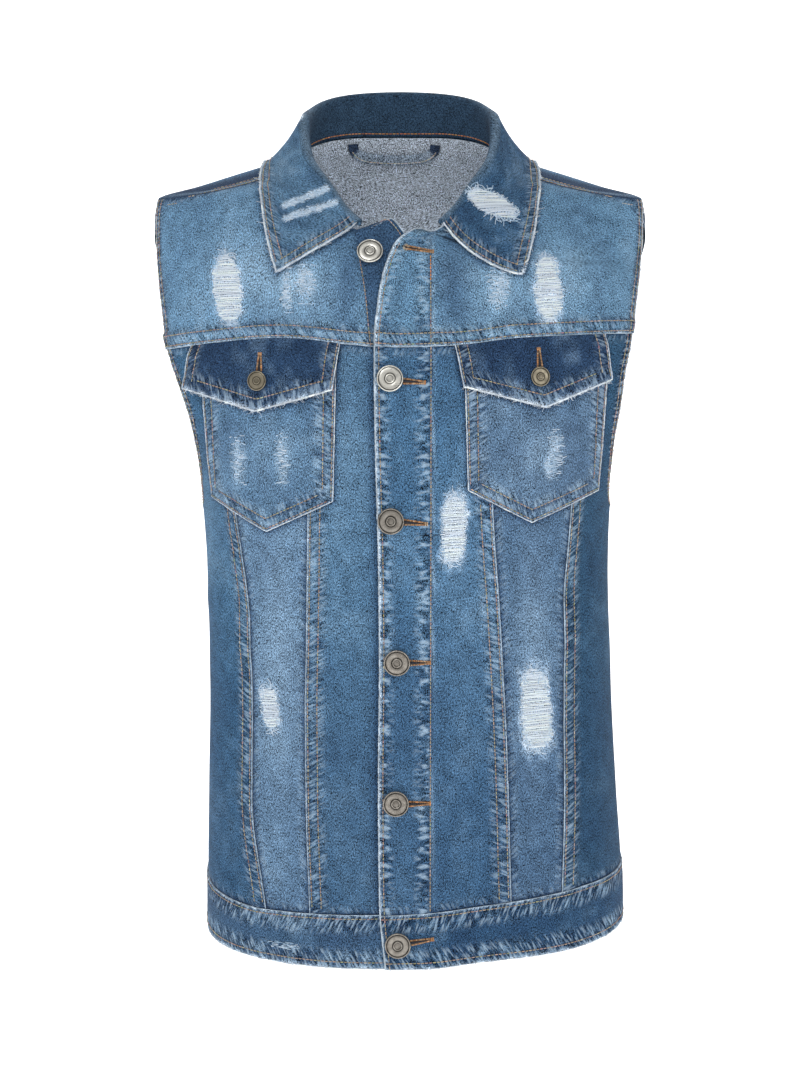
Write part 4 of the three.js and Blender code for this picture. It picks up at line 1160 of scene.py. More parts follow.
def pucker(panel, border, reach, strength, low=0.0):
    """Gathers of the cloth across a sewn edge, dark in the dips and worn on the crests"""
    distance = panel.inside[border]
    run = panel.along[border]
    bumps = ripples(run, distance, 3.4, reach * 0.9, panel.seed + len(border))
    window = ease(low - 1.5, low + 1.5, distance) * (1 - ease(reach * 0.8, reach * 1.5, distance))
    panel.out += 0.3 * strength * bumps * window
    panel.shade(0.35 * strength * bumps * window)
    gather(panel, (run + 0.5 * distance) / GATHER_STEP, distance / GATHER_LENGTH, strength * window)


def gather(panel, along_seam, from_seam, amount):
    """Mark the fine gathers across a seam, for the cloth's material"""
    more = amount > panel.gathers
    panel.gathers = np.where(more, amount, panel.gathers)
    marks = np.stack([along_seam, from_seam + 7 * panel.seed], -1)
    panel.seam_uv = np.where(more[..., None], marks, panel.seam_uv)


def worn_edge(panel, border, width=0.9, amount=0.85):
    """A folded edge rubbed white"""
    distance = panel.inside[border]
    rough = 0.62 + 0.5 * noise(panel.along[border] / 2.6, distance * 0, panel.seed)
    panel.toward(WHITE_THREAD, amount * bell(distance, width) * rough)


def groove(panel, distance, where=1.0, depth=0.3, width=1.1, dark=0.55):
    """Draw the cloth in along a row of stitches, and darken it there with painted shade"""
    pull = bell(distance, width) * where
    panel.out -= depth * pull
    panel.shade(-dark * pull)


def lapped(panel, border, rows=SEAM_ROWS, where=1.0):
    """A seam allowance turned under and sewn down with two rows of stitches"""
    distance = panel.inside[border]
    rise = LAP * (1 - ease(LAP_WIDTH, LAP_WIDTH + 2.5, distance)) * where
    panel.out += rise
    panel.wall += rise
    pucker(panel, border, LAP_WIDTH, 0.9)
    for row in rows:
        groove(panel, distance - row)
    worn_edge(panel, border)


def hem_rows(panel, border, where):
    """A narrow hem, turned under and sewn twice, as round the armholes"""
    distance = panel.inside[border]
    panel.out += 0.35 * (1 - ease(7.5, 9.5, distance)) * where
    bumps = noise(panel.along[border] / 3.4, distance / 7, panel.seed + 4)
    window = (1 - ease(8, 11, distance)) * where
    panel.shade((0.35 * bumps - 0.34) * window)
    gather(panel, panel.along[border] / GATHER_STEP, distance / GATHER_LENGTH, 1.2 * window)
    for row in HEM_ROWS:
        groove(panel, distance - row, where, 0.25, 1.0, 0.5)
    panel.toward(WHITE_THREAD, 0.8 * bell(distance, 0.9) * where)


def seam_shadow(panel, border, amount=0.35, reach=3.0):
    """Painted shadow: the cloth that goes in under its neighbour is darkened beside the edge that covers
    it
    """
    panel.shade(-1.7 * amount * bell(panel.inside[border], reach))
    pucker(panel, border, 6, 0.5, low=1.0)


def darken_towards_hem(panel, amount=0.22):
    """Darker towards the hem"""
    panel.shade(-amount * ease(330, 520, -panel.z))


def blotches(panel, strength=0.12):
    """Uneven washing over the whole panel"""
    wide = noise(panel.x / 26, panel.z / 34, panel.seed)
    fine = noise(panel.x / 7, panel.z / 9, panel.seed + 3)
    panel.shade(strength * wide + 0.6 * strength * fine)


def faded(panel, patches):
    """Faded or dark patches: x, z, half width, half height, amount"""
    for x, z, half_x, half_z, amount in patches:
        near = np.exp(-(((panel.x - x) / half_x) ** 2) - ((panel.z - z) / half_z) ** 2)
        panel.shade(amount * near)


# Faded and darker patches of the fronts; the darker strips at x -40 and 40 near z -110 are painted shade
# in the folds below the collar
FRONT_FADES_AND_SHADE = (
    (-110, -105, 42, 34, 0.34), (-70, -120, 22, 26, 0.2), (-40, -110, 10, 40, -0.3),
    (70, -125, 26, 30, 0.22), (120, -110, 40, 36, 0.2), (40, -112, 14, 40, -0.38),
    (-95, -420, 18, 110, 0.3), (104, -400, 18, 100, 0.26), (50, -360, 26, 120, 0.1),
    (-46, -250, 24, 90, 0.14), (-150, -290, 22, 70, 0.16), (150, -340, 14, 60, -0.15),
    (-102, -245, 34, 34, 0.18), (105, -245, 36, 34, 0.16), (-100, -182, 40, 18, -0.1),
)
BACK_FADES = (
    (-90, -90, 60, 36, 0.25), (90, -90, 60, 36, 0.25), (0, -90, 50, 40, 0.1),
    (0, -400, 46, 130, 0.2), (-120, -420, 26, 110, 0.1), (120, -420, 26, 110, 0.1),
)


def washed(name, places, colour, fades=FRONT_FADES_AND_SHADE, strength=0.12, **settings):
    """A panel with its uneven washing and the faded and darkened patches of a table"""
    panel = Panel(name, places, colour, **settings)
    blotches(panel, strength)
    faded(panel, fades)
    return panel


def path_distance(x, z, path):
    """Distance of places from a path of straight stretches in x and z"""
    nearest = np.full(np.shape(x), np.inf)
    for start, end in zip(path, path[1:]):
        run = np.subtract(end, start)
        share = ((x - start[0]) * run[0] + (z - start[1]) * run[1]) / (run @ run)
        share = np.clip(share, 0, 1)
        off = np.hypot(x - start[0] - share * run[0], z - start[1] - share * run[1])
        nearest = np.minimum(nearest, off)
    return nearest


def patch_path(corners):
    """The sewn sides of a pocket or flap, from its outer top corner round its tip"""
    outer_top, inner_top, outer_low, tip, inner_low = corners
    return (outer_top, outer_low, tip, inner_low, inner_top)


def shadow_beside(panel, path, reach, amount):
    """The dark line that the edge of an upper layer leaves on the cloth below it"""
    panel.shade(-amount * bell(path_distance(panel.x, panel.z, path), reach))


# The collar's lower edge over each yoke, in x and z
COLLAR_SHADOW = {
    "l": ((111, -17), (110, -42), (104, -74), (96, -105), (64, -97), (32, -68)),
    "r": ((-111, -17), (-110, -42), (-104, -74), (-96, -105), (-64, -87), (-32, -66)),
}


def ragged(down, x):
    """How much wider or narrower a rip is at a height on it"""
    return 1 + 0.24 * noise(down * 2.3, np.full_like(down, x / 9), 37)


def torn(panel):
    """Pale, sunken cloth under the loose yarns of the rips and scuffs that lie on a panel"""
    for x, z, half_x, half_z, lean in RIPS:
        down = (panel.z - z) / half_z
        across = (panel.x - x - lean * (panel.z - z)) / (half_x * ragged(down, x))
        rough = 0.22 * noise(panel.x / 2.5, panel.z / 2.5, 17)
        far = (np.abs(across) ** BOX_POWER + np.abs(down) ** BOX_POWER) ** (1 / BOX_POWER) + rough
        hole = 1 - ease(0.85, 1.1, far)
        panel.out -= 0.25 * hole
        panel.toward(RIP_RIM, 0.6 * (1 - ease(1.0, 1.5, far)))
        panel.toward(RIP_GROUND, 0.98 * hole)
    for x, z, half_x, half_z, *_ in SCUFFS:
        far = np.hypot((panel.x - x) / half_x, (panel.z - z) / half_z)
        streaks = 0.6 + 0.5 * noise(panel.x / 2.4, panel.z / 14, 23)
        panel.toward(SCUFF_COLOUR, 0.62 * streaks * (1 - ease(0.4, 1.4, far)))


# Fronts

SIDES = {"r": -1, "l": 1}
STAND_ROW_X = 23.4


def ordered(sign, inner, outer):
    """Two things from left to right on this side of the vest"""
    return (inner, outer) if sign > 0 else (outer, inner)


def lower_places(left, right, width):
    """The places of a front panel between the yoke, two seams and the hem band"""
    left_x, right_x = (body_point(*border(0))[0] for border in (left, right))

    def top(share):
        x = mix(left_x, right_x, np.asarray(share, float))
        return from_x(x, yoke_height(x))

    def bottom(share):
        turn = mix(left(1)[0], right(1)[0], np.asarray(share, float))
        return np.stack(np.broadcast_arrays(turn, band_top(turn)), -1)

    down = spread(PANEL_LENGTH, FRONT_STEP)
    return coons(top, bottom, left, right, spread(width, FRONT_STEP), down)


def stand_ripples(panel, run, from_edge):
    """Ripples in the button stand beside its free edge and its inner row of stitches"""
    from_row = STAND_ROW_X - panel.x
    for field, reach in ((from_edge, 9.0), (from_row, 10.0)):
        bumps = ripples(run, field, 5, 8, panel.seed + 11, (12, 9), 0.5, 5)
        window = ease(-1, 1.5, field) * (1 - ease(reach * 0.6, reach * 1.5, field))
        panel.out += 0.25 * bumps * window
        panel.shade(0.3 * bumps * window)
        gather(panel, run / STAND_GATHER_STEP, field / GATHER_LENGTH, 1.2 * window)


def worn_row(panel):
    """The cloth rubbed pale along the button stand's inner row"""
    panel.toward(WORN, 0.4 * bell(panel.x - STAND_ROW_X - 1.8, 0.9))


def stand_marks(panel):
    """The double button stand along the left front's free edge"""
    beyond = panel.x - STAND_ROW_X
    rise = 1 - ease(0.8, 2.5, beyond)
    panel.out += LAP * rise
    panel.wall += (DOUBLE_CLOTH - CLOTH) * rise
    stand_ripples(panel, panel.along["left"], panel.inside["left"])
    groove(panel, beyond)
    groove(panel, panel.inside["left"] - EDGE_ROW)
    worn_edge(panel, "left", 1.5, 1.2)
    worn_row(panel)


def finish_front(panel, paths, reach=2.4, shadow=0.5, deep=0.22):
    """The marks that every front panel gets last"""
    for path in paths:
        shadow_beside(panel, path, reach, shadow)
    darken_towards_hem(panel, deep)
    torn(panel)
    panel.finish()


def below_arm(z):
    """1 below the underarm and 0 above it"""
    return 1 - ease(UNDERARM_Z - 4, UNDERARM_Z + 12, z)


def make_centre(side, places, seam, patches):
    """The front panel next to the buttons"""
    centre = washed(f"front_centre_{side}", places, CENTRE_COLOUR[side])
    lapped(centre, seam, where=below_arm(centre.z))
    seam_shadow(centre, "top", 0.2)
    seam_shadow(centre, "bottom")
    if side == "l":
        centre.out += left_lift(centre.x)
        stand_marks(centre)
    else:
        # Painted shadow beside the left front's free edge, which lies over the right front
        beside = SEAM_X["edge_l"](centre.z) - centre.x
        centre.shade(-0.5 * bell(np.maximum(beside, 0), 5))
    finish_front(centre, patches)
    return centre


def make_middle(side, places, patches):
    """The light wedge panel, which goes in under both its neighbours"""
    middle = washed(f"front_middle_{side}", places, MIDDLE_COLOUR[side], slot="denim_light")
    for border in ("left", "right", "top", "bottom"):
        seam_shadow(middle, border)
    if side == "l":
        middle.out += left_lift(middle.x)
    finish_front(middle, patches, 2.6, 0.55, 0.1)


def make_flank(side, places, seam, arm, patches):
    """The front panel next to the side seam and the armhole"""
    flank = washed(f"front_side_{side}", places, SIDE_COLOUR[side])
    lapped(flank, seam, where=below_arm(flank.z))
    hem_rows(flank, arm, flank.z > UNDERARM_Z)
    seam_shadow(flank, "top", 0.2)
    seam_shadow(flank, "bottom")
    finish_front(flank, patches)
    return flank


def make_front(side):
    """The three panels of a front below its yoke, and their sewing"""
    sign = SIDES[side]
    inner_name, outer_name = ordered(sign, "left", "right")
    edge, inner, outer = (front_seam(f"{name}_{side}") for name in ("edge", "inner", "side"))
    bottom = np.array([(sign * turn, z) for turn, z in ARMHOLE_BOTTOM])
    armhole = through(np.vstack([front_places(ARMHOLE_SIDE[side]), bottom]))
    border = join(armhole, side_seam(sign), UNDERARM_SHARE)
    patches = [patch_path(corners[side]) for corners in (POCKETS, FLAPS)]

    places = lower_places(*ordered(sign, edge, inner), CENTRE_WIDTH)
    centre = make_centre(side, places, outer_name, patches)
    places = lower_places(*ordered(sign, inner, outer), MIDDLE_WIDTH)
    make_middle(side, places, patches[:1])
    places = lower_places(*ordered(sign, outer, border), FLANK_WIDTH)
    flank = make_flank(side, places, inner_name, outer_name, patches)

    seams = ((centre, outer_name), (flank, inner_name))
    for panel, name in seams:
        sew_rows(panel, name, SEAM_ROWS, start=SEAM_SHOWS, end=0.995)
    line, up, away = border_line(flank, outer_name)
    arm = line[:, 2] > UNDERARM_Z
    fray(line[arm], up[arm], away[arm], 0.8, 0.7)
    cord(line[arm], up[arm], *ARM_CORD)
    for panel, name in seams:
        cord_edge(panel, name, SEAM_CORD, start=SEAM_SHOWS)
    if side == "l":
        cord_edge(centre, "left", STAND_CORD)
        sew_rows(centre, "left", [EDGE_ROW])
        sew(*line_at(centre, centre.x, STAND_ROW_X))
    sew_rows(flank, outer_name, HEM_ROWS, above(UNDERARM_Z + 2))


def yoke_places(side):
    """The places of a front yoke between shoulder, neck, free edge, seam and armhole"""
    sign = SIDES[side]
    shoulder = shoulder_seam(sign)
    start = [shoulder(0.0)] + [np.array((sign * turn, neck_height(turn))) for turn in NECK_TURNS]
    neck = through(np.vstack([*start, front_places(FRONT_NECK[side])]))
    edge_x = SEAM_X[f"edge_{side}"]
    edge_top = neck(1.0)[1]
    edge_bottom = yoke_height(edge_x(SEAM_TOP_Z))

    def edge(share):
        z = mix(edge_top, edge_bottom, np.asarray(share, float))
        return from_x(edge_x(z), z)

    def lower(share):
        x = mix(edge_x(edge_bottom), ARMHOLE_YOKE[side][-1][0], np.asarray(share, float))
        return from_x(x, yoke_height(x))

    def reverse(border):
        return lambda share: border(1 - np.asarray(share, float))

    inner = join(neck, edge, NECK_PART)
    outer = through(front_places(ARMHOLE_YOKE[side]))
    top, bottom = (shoulder, lower) if sign > 0 else (reverse(shoulder), reverse(lower))
    across = spread(YOKE_WIDTH, FRONT_STEP)
    down = spread(YOKE_LENGTH, FRONT_STEP * 0.85)
    return coons(top, bottom, *ordered(sign, inner, outer), across, down)


def left_yoke_marks(yoke):
    """The end of the button stand on the left yoke"""
    yoke.out += left_lift(yoke.x)
    free = yoke.inside["left"] + 60 * ease(-74, -66, yoke.z)
    yoke.toward(WHITE_THREAD, 0.95 * bell(free, 1.6))
    groove(yoke, yoke.x - STAND_ROW_X)
    stand_ripples(yoke, yoke.z, free)
    worn_row(yoke)


def sew_left_yoke(yoke):
    cord_edge(yoke, "left", STAND_CORD, below(-64))
    line, up = line_at(yoke, yoke.x, STAND_ROW_X)
    part = below(-91)(line)
    sew(line[part], up[part], ORANGE, end=0.3)
    sew(line[part], up[part], start=0.3)
    sew_rows(yoke, "left", [EDGE_ROW], below(-80))


def sew_right_yoke(yoke, stand):
    def corner(line):
        return (line[:, 2] < -54) & (line[:, 2] > -80) & (line[:, 0] > -24)

    line, up = line_at(yoke, stand, 0.0)
    part = below(-84)(line)
    sew(line[part], up[part])
    cord_edge(yoke, "right", CORNER_CORD, corner)
    sew_rows(yoke, "right", [EDGE_ROW], corner)


def make_front_yoke(side):
    """A front yoke, whose lower edge laps over the panels below it"""
    outer_name = "right" if side == "l" else "left"
    yoke = washed(
        f"front_yoke_{side}", yoke_places(side), YOKE_COLOUR[side], strength=0.14, slot="denim_light"
    )
    showing = 1 - ease(COVERED_X - 3, COVERED_X + 3, yoke.x) if side == "r" else 1.0
    low = yoke.inside["bottom"]
    rise = YOKE_LAP * (1 - ease(11, 13.5, low)) * showing
    yoke.out += rise
    yoke.wall += rise
    pucker(yoke, "bottom", 12.5, 0.9)
    for row in YOKE_ROWS:
        groove(yoke, low - row)
    worn_edge(yoke, "bottom", 1.2, 0.8)
    hem_rows(yoke, outer_name, 1.0)
    seam_shadow(yoke, "top", 0.45, 4.0)
    if side == "l":
        left_yoke_marks(yoke)
    else:
        stand = yoke.x + curve_of(RIGHT_STAND)(yoke.z)
        groove(yoke, stand)
        # Painted shadow on the right yoke's button stand past its row, where it lies under the left front
        yoke.shade(-0.55 * ease(-2, 4, stand))
    shadow_beside(yoke, COLLAR_SHADOW[side], 3.5, 0.45)
    torn(yoke)
    yoke.finish()
    sew_rows(yoke, "bottom", YOKE_ROWS)
    sew_rows(yoke, outer_name, HEM_ROWS)
    fray(*border_line(yoke, outer_name), 0.8, 0.8)
    cord_edge(yoke, outer_name, ARM_CORD)
    cord_edge(yoke, "bottom", SEAM_CORD)
    if side == "l":
        sew_left_yoke(yoke)
    else:
        sew_right_yoke(yoke, stand)


# Back


def back_turn(x, z):
    return 180 - front_turn(x, z)


def wrapped(turn):
    """Angles past the middle of the back, from 180 to 360, as the same ones from -180 to 0"""
    return np.where(turn > 180, turn - 360, turn)


def back_yoke_z(turn):
    start, top = ARMHOLE_BACK[YOKE_ARM_ROWS - 1]
    share = np.clip((turn - start) / (360 - 2 * start), 0, 1)
    return mix(top, BACK_YOKE_Z, np.sin(share * np.pi))


def past_back(places):
    """Places of the right side by angles from 180 to 360"""
    places = np.array(places)
    places[..., 0] = np.where(places[..., 0] < 0, places[..., 0] + 360, places[..., 0])
    return places


def mirrored(places):
    return np.stack([360 - places[:, 0], places[:, 1]], -1)


def turn_border(first, last, height):
    """A border from one angle to another at a height that goes by the angle"""

    def border(share):
        turn = mix(first, last, np.asarray(share, float))
        return np.stack([turn, height(turn)], -1)

    return border


SHOULDER_SHARE = 0.32


def back_yoke_places():
    """The places of the back yoke, and the shares across it"""
    left, right = shoulder_seam(1), shoulder_seam(-1)
    neck_start = left(0.0)[0]
    arm_turn = ARMHOLE_BACK[YOKE_ARM_ROWS - 1][0]

    def top(share):
        share = np.asarray(share, float)
        turn = mix(neck_start, 360 - neck_start, (share - SHOULDER_SHARE) / (1 - 2 * SHOULDER_SHARE))
        neck = np.stack([turn, neck_height(np.abs(wrapped(turn)))], -1)
        start = left(np.clip(1 - share / SHOULDER_SHARE, 0, 1))
        end = past_back(right(np.clip((share - 1 + SHOULDER_SHARE) / SHOULDER_SHARE, 0, 1)))
        first = (share <= SHOULDER_SHARE)[..., None]
        last = (share >= 1 - SHOULDER_SHARE)[..., None]
        return np.where(first, start, np.where(last, end, neck))

    bottom = turn_border(arm_turn, 360 - arm_turn, back_yoke_z)
    arm = np.vstack([left(1.0), ARMHOLE_BACK[1:YOKE_ARM_ROWS]])
    across = np.concatenate([
        np.linspace(0, SHOULDER_SHARE, 56)[:-1],
        np.linspace(SHOULDER_SHARE, 1 - SHOULDER_SHARE, 80),
        np.linspace(1 - SHOULDER_SHARE, 1, 56)[1:],
    ])
    down = spread(BACK_YOKE_LENGTH, BACK_STEP)
    return coons(top, bottom, through(arm), through(mirrored(arm)), across, down), across


def make_back_yoke():
    """The back yoke, which wraps over the shoulders to their seams"""
    places, across = back_yoke_places()
    yoke = washed("back_yoke", places, BACK_YOKE_COLOUR, BACK_FADES, 0.14, slot="denim_light")
    lapped(yoke, "bottom", YOKE_ROWS)
    for border in ("left", "right"):
        hem_rows(yoke, border, 1.0)
    body = np.stack([yoke.x, yoke.y, yoke.z], -1)
    ends = (across < SHOULDER_SHARE - 0.004, across > 1.004 - SHOULDER_SHARE)
    seams = np.concatenate([body[0, columns] for columns in ends])
    away = np.min([np.linalg.norm(body - place, axis=-1) for place in seams], axis=0)
    yoke.shade(-0.72 * (1 - ease(16, 34, away)))
    for row in SHOULDER_ROWS:
        groove(yoke, away - row, 1.0, 0.25, 1.0, 0.3)
    yoke.shade(0.5 * (1 - ease(0.5, 1.5, np.abs(away - np.mean(SHOULDER_ROWS)) / 2)))
    worn_edge(yoke, "top", 0.9, 0.6)
    yoke.finish()
    sew_rows(yoke, "bottom", YOKE_ROWS)
    for border in ("left", "right"):
        sew_rows(yoke, border, HEM_ROWS)
    for row in SHOULDER_ROWS:
        for columns, (start, end) in zip(ends, ((0.16, 1.0), (0.0, 0.84))):
            strip = SimpleNamespace(points=yoke.points[:, columns], normals=yoke.normals[:, columns])
            sew(*line_at(strip, away[:, columns], row, along_rows=False), start=start, end=end)


def back_seam(sign):
    top = back_yoke_z(back_turn(BACK_SEAM[-1][1], BACK_YOKE_Z))
    low_z, low_x = BACK_SEAM[0]
    bottom = band_top(wrapped(back_turn(section(low_z)["shift"] + sign * low_x, low_z)))

    def seam(share):
        z = seam_z(top, bottom, np.asarray(share, float))
        turn = back_turn(section(z)["shift"] + sign * back_seam_x(z), z)
        return np.stack([turn, z], -1)

    return seam


def make_back():
    """The centre and the two sides of the back below its yoke"""
    arm = np.array(ARMHOLE_BACK[YOKE_ARM_ROWS - 1:], float)
    right_side = side_seam(-1)
    borders = (
        join(through(arm), side_seam(1), UNDERARM_SHARE),
        back_seam(1),
        back_seam(-1),
        join(through(mirrored(arm)), lambda share: past_back(right_side(share)), UNDERARM_SHARE),
    )
    down = spread(PANEL_LENGTH, BACK_STEP)
    for (name, width, arm_side), left, right in zip(BACK_PIECES, borders, borders[1:]):
        top = turn_border(left(0.0)[0], right(0.0)[0], back_yoke_z)
        bottom = turn_border(left(1.0)[0], right(1.0)[0], lambda turn: band_top(wrapped(turn)))
        places = coons(top, bottom, left, right, spread(width, BACK_STEP), down)
        panel = washed(name, places, BACK_SIDE_COLOUR if arm_side else BACK_COLOUR, BACK_FADES)
        seam_shadow(panel, "top", 0.25)
        seam_shadow(panel, "bottom")
        laps = () if arm_side else ("left", "right")
        for border in laps:
            lapped(panel, border)
        if arm_side:
            hem_rows(panel, arm_side, panel.z > UNDERARM_Z)
            seam_shadow(panel, "right" if arm_side == "left" else "left")
        panel.finish()
        for border in laps:
            sew_rows(panel, border, SEAM_ROWS)
        if arm_side:
            sew_rows(panel, arm_side, HEM_ROWS, above(UNDERARM_Z + 2))


# Hem band


def make_band(name, start, end, width, side):
    """One length of the hem band between two borders, as angles by height"""
    across = spread(width, FRONT_STEP)
    down = spread(BAND_LENGTH, 1.8)
    middle_z = mix(band_top(0.0), hem_edge(0.0), down)
    turn = mix(start(middle_z)[:, None], end(middle_z)[:, None], across[None, :])
    z = mix(band_top(wrapped(turn)), hem_edge(wrapped(turn)), down[:, None])
    band = Panel(name, np.stack([turn, z], -1), BAND_COLOUR[side], DOUBLE_CLOTH, "denim_dark")
    band.out += BAND_RISE
    if name == "hem_band_l":
        band.out += left_lift(band.x)
        worn_edge(band, "left", 1.1, 0.9)
        groove(band, band.inside["left"] - EDGE_ROW)
    blotches(band, 0.2)
    pucker(band, "top", 12, 1.1)
    pucker(band, "bottom", 13, 1.1)
    for border, row in BAND_ROWS.items():
        groove(band, band.inside[border] - row)
    worn_edge(band, "top", 1.1, 0.8)
    worn_edge(band, "bottom", 1.8, 0.9)
    band.finish()
    for border, row in BAND_ROWS.items():
        sew_rows(band, border, [row])
    fray(*border_line(band, "bottom"), 1.8, 1.0)
    cord_edge(band, "bottom", BAND_CORD)
    cord_edge(band, "top", SEAM_CORD)
    if name == "hem_band_l":
        sew_rows(band, "left", [EDGE_ROW])
        cord_edge(band, "left", STAND_CORD)


def make_bands():
    def free_edge(side):
        return lambda z: front_turn(SEAM_X[f"edge_{side}"](z), z)

    def fixed(turn):
        return lambda z: np.full(np.shape(z), float(turn))

    left_side, right_side = fixed(SIDE_SEAM_TURN), fixed(360 - SIDE_SEAM_TURN)
    make_band("hem_band_r", fixed(-SIDE_SEAM_TURN), free_edge("r"), FRONT_BAND_WIDTH, "r")
    make_band("hem_band_back", left_side, right_side, BACK_BAND_WIDTH, "l")
    make_band("hem_band_l", free_edge("l"), left_side, FRONT_BAND_WIDTH, "l")


# Pockets and flaps

SEWN_SIDES = ("left", "right", "bottom")


def patch_places(corners, sign, step, under_yoke):
    """The places of a pocket or a flap, whose lower edge comes to a point"""
    outer_top, inner_top, outer_low, tip, inner_low = (np.array(corner, float) for corner in corners)
    top_left, top_right = ordered(sign, inner_top, outer_top)
    low_left, low_right = ordered(sign, inner_low, outer_low)
    tip_share = (tip[0] - low_left[0]) / (low_right[0] - low_left[0])
    u = spread(PATCH_WIDTH, step)[None, :]
    v = spread(FLAP_LENGTH if under_yoke else POCKET_LENGTH, step)[:, None]
    top_x = mix(top_left[0], top_right[0], u)
    top_z = yoke_height(top_x) if under_yoke else mix(top_left[1], top_right[1], u)
    before = np.clip(u / tip_share, 0, 1)[..., None]
    after = np.clip((u - tip_share) / (1 - tip_share), 0, 1)[..., None]
    low = np.where((u <= tip_share)[..., None], mix(low_left, tip, before), mix(tip, low_right, after))
    return from_x(mix(top_x, low[..., 0], v), mix(top_z, low[..., 1], v))


def patch_lift(side, x):
    """How far the left front lies out under a pocket or flap"""
    return left_lift(x) if side == "l" else 0 * x


def make_pocket(side):
    places = patch_places(POCKETS[side], SIDES[side], 2.0, False)
    pocket = washed(
        f"pocket_{side}", places, POCKET_COLOUR[side], strength=0.16, slot="denim_light"
    )
    sewn = pocket.nearest(SEWN_SIDES)
    pocket.out += patch_lift(side, pocket.x) + mix(1.7, POCKET_SURFACE, ease(8, 22, sewn))
    for border in SEWN_SIDES:
        pucker(pocket, border, 14, 0.9)
        worn_edge(pocket, border, 0.9, 0.8)
    for row in PATCH_ROWS:
        groove(pocket, sewn - row)
    shadow_beside(pocket, patch_path(FLAPS[side]), 3.0, 0.6)
    torn(pocket)
    pocket.finish()
    for border, stretch in (("left", 1.0), ("right", 1.0), ("bottom", BOTTOM_STRETCH)):
        for row in PATCH_ROWS:
            line, up = line_at(pocket, pocket.inside[border], row * stretch, border != "bottom")
            part = clear_of(pocket, line, border, row)
            sew(line[part], up[part])
    return pocket


def make_flap(side):
    places = patch_places(FLAPS[side], SIDES[side], 1.8, True)
    flap = Panel(f"flap_{side}", places, FLAP_COLOUR, FLAP_WALL, "denim_dark")
    v = flap.inside["top"] / (flap.inside["top"] + flap.inside["bottom"])
    over = mix(FLAP_ROOT, FLAP_OVER, ease(0, 0.3, v)) + FLAP_SPRING * v**2 + FLAP_WALL
    flap.out += patch_lift(side, flap.x) + over
    blotches(flap, 0.3)
    for border in ("left", "right"):
        pucker(flap, border, 10, 0.8)
        worn_edge(flap, border, 0.9, 0.8)
    pucker(flap, "bottom", 12, 0.9)
    worn_edge(flap, "bottom", 2.4, 0.95)
    for row in PATCH_ROWS:
        groove(flap, flap.nearest(("left", "right")) - row)
    groove(flap, flap.inside["bottom"] - PATCH_ROWS[1])
    flap.finish()
    for border in ("left", "right"):
        for row, end in zip(PATCH_ROWS, (0.96, 0.78)):
            line, up = line_at(flap, flap.inside[border], row)
            cut = int(len(line) * end)
            sew(line[:cut], up[:cut])
    return flap


def make_patches(side):
    """A pocket and its flap, which is frayed along its free edge"""
    pocket, flap = make_pocket(side), make_flap(side)
    fray(*border_line(flap, "bottom"), 2.6, 1.4, spread=0.8)
    cord_edge(flap, "bottom", FLAP_CORD)
    for panel in (flap, pocket):
        for border in ("left", "right"):
            cord_edge(panel, border, PATCH_CORD)
    cord_edge(pocket, "bottom", PATCH_CORD)
    row = PATCH_ROWS[1]
    line, up = line_at(flap, flap.inside["bottom"], row, along_rows=False)
    part = clear_of(flap, line, "bottom", row)
    sew(line[part], up[part])


def clear_of(panel, line, border, row):
    """The part of a row of stitches that keeps within the crossing rows"""
    if border == "bottom":
        x = line[:, 0]
        low, high = panel.points[..., 0].min(), panel.points[..., 0].max()
        return (x > low + row + 3) & (x < high - row - 3)
    corner = panel.points[-1, 0 if border == "left" else -1, 2]
    return line[:, 2] > corner + row * 0.7


# Collar and loop


def clear_of_body(points):
    """The fall's points, moved out to where they lie on the cloth below"""
    moved = points.copy()
    ahead = (points[..., 0] > 0) & (points[..., 1] < 0)
    wanted = COLLAR_WALL / 2 + FALL_GAP + np.where(ahead, left_lift(points[..., 0]), 0)
    for _ in range(3):
        slope = fullness_slope(moved)
        steep = np.linalg.norm(slope, axis=-1)
        distance = (fullness(moved) - 1) / steep - fold_height(moved)
        moved += unit(slope) * np.maximum(0, wanted - distance)[..., None]
    return moved


# Rubbed places on the collar in x and z: strokes, a torn patch with its half sizes and lean, a spot
COLLAR_STROKES = (((-90.5, -52.7), (-57, -39)), ((-89.7, -63), (-50, -50.5)))
COLLAR_PATCH = (72, -51, 15, 11, -1.0)
COLLAR_SPOT = (-80.4, 23.3)

STAND_ROWS = 8
ARC_ANGLES = np.radians(np.linspace(0, 180, 10))


def round_back(rows, mirror):
    """Rows from the collar's left end round the back to its right end, at each column of it"""
    line = list(rows[::-1]) + [(mirror - row[0], *row[1:]) for row in rows[1:]]
    at = np.linspace(0, 1, SPAN_POINTS * (len(line) - 1) + 1)
    return along(smooth_line(line, even=True), at)(spread(COLLAR_WIDTH, COLLAR_WIDTH / COLLAR_COLUMNS))


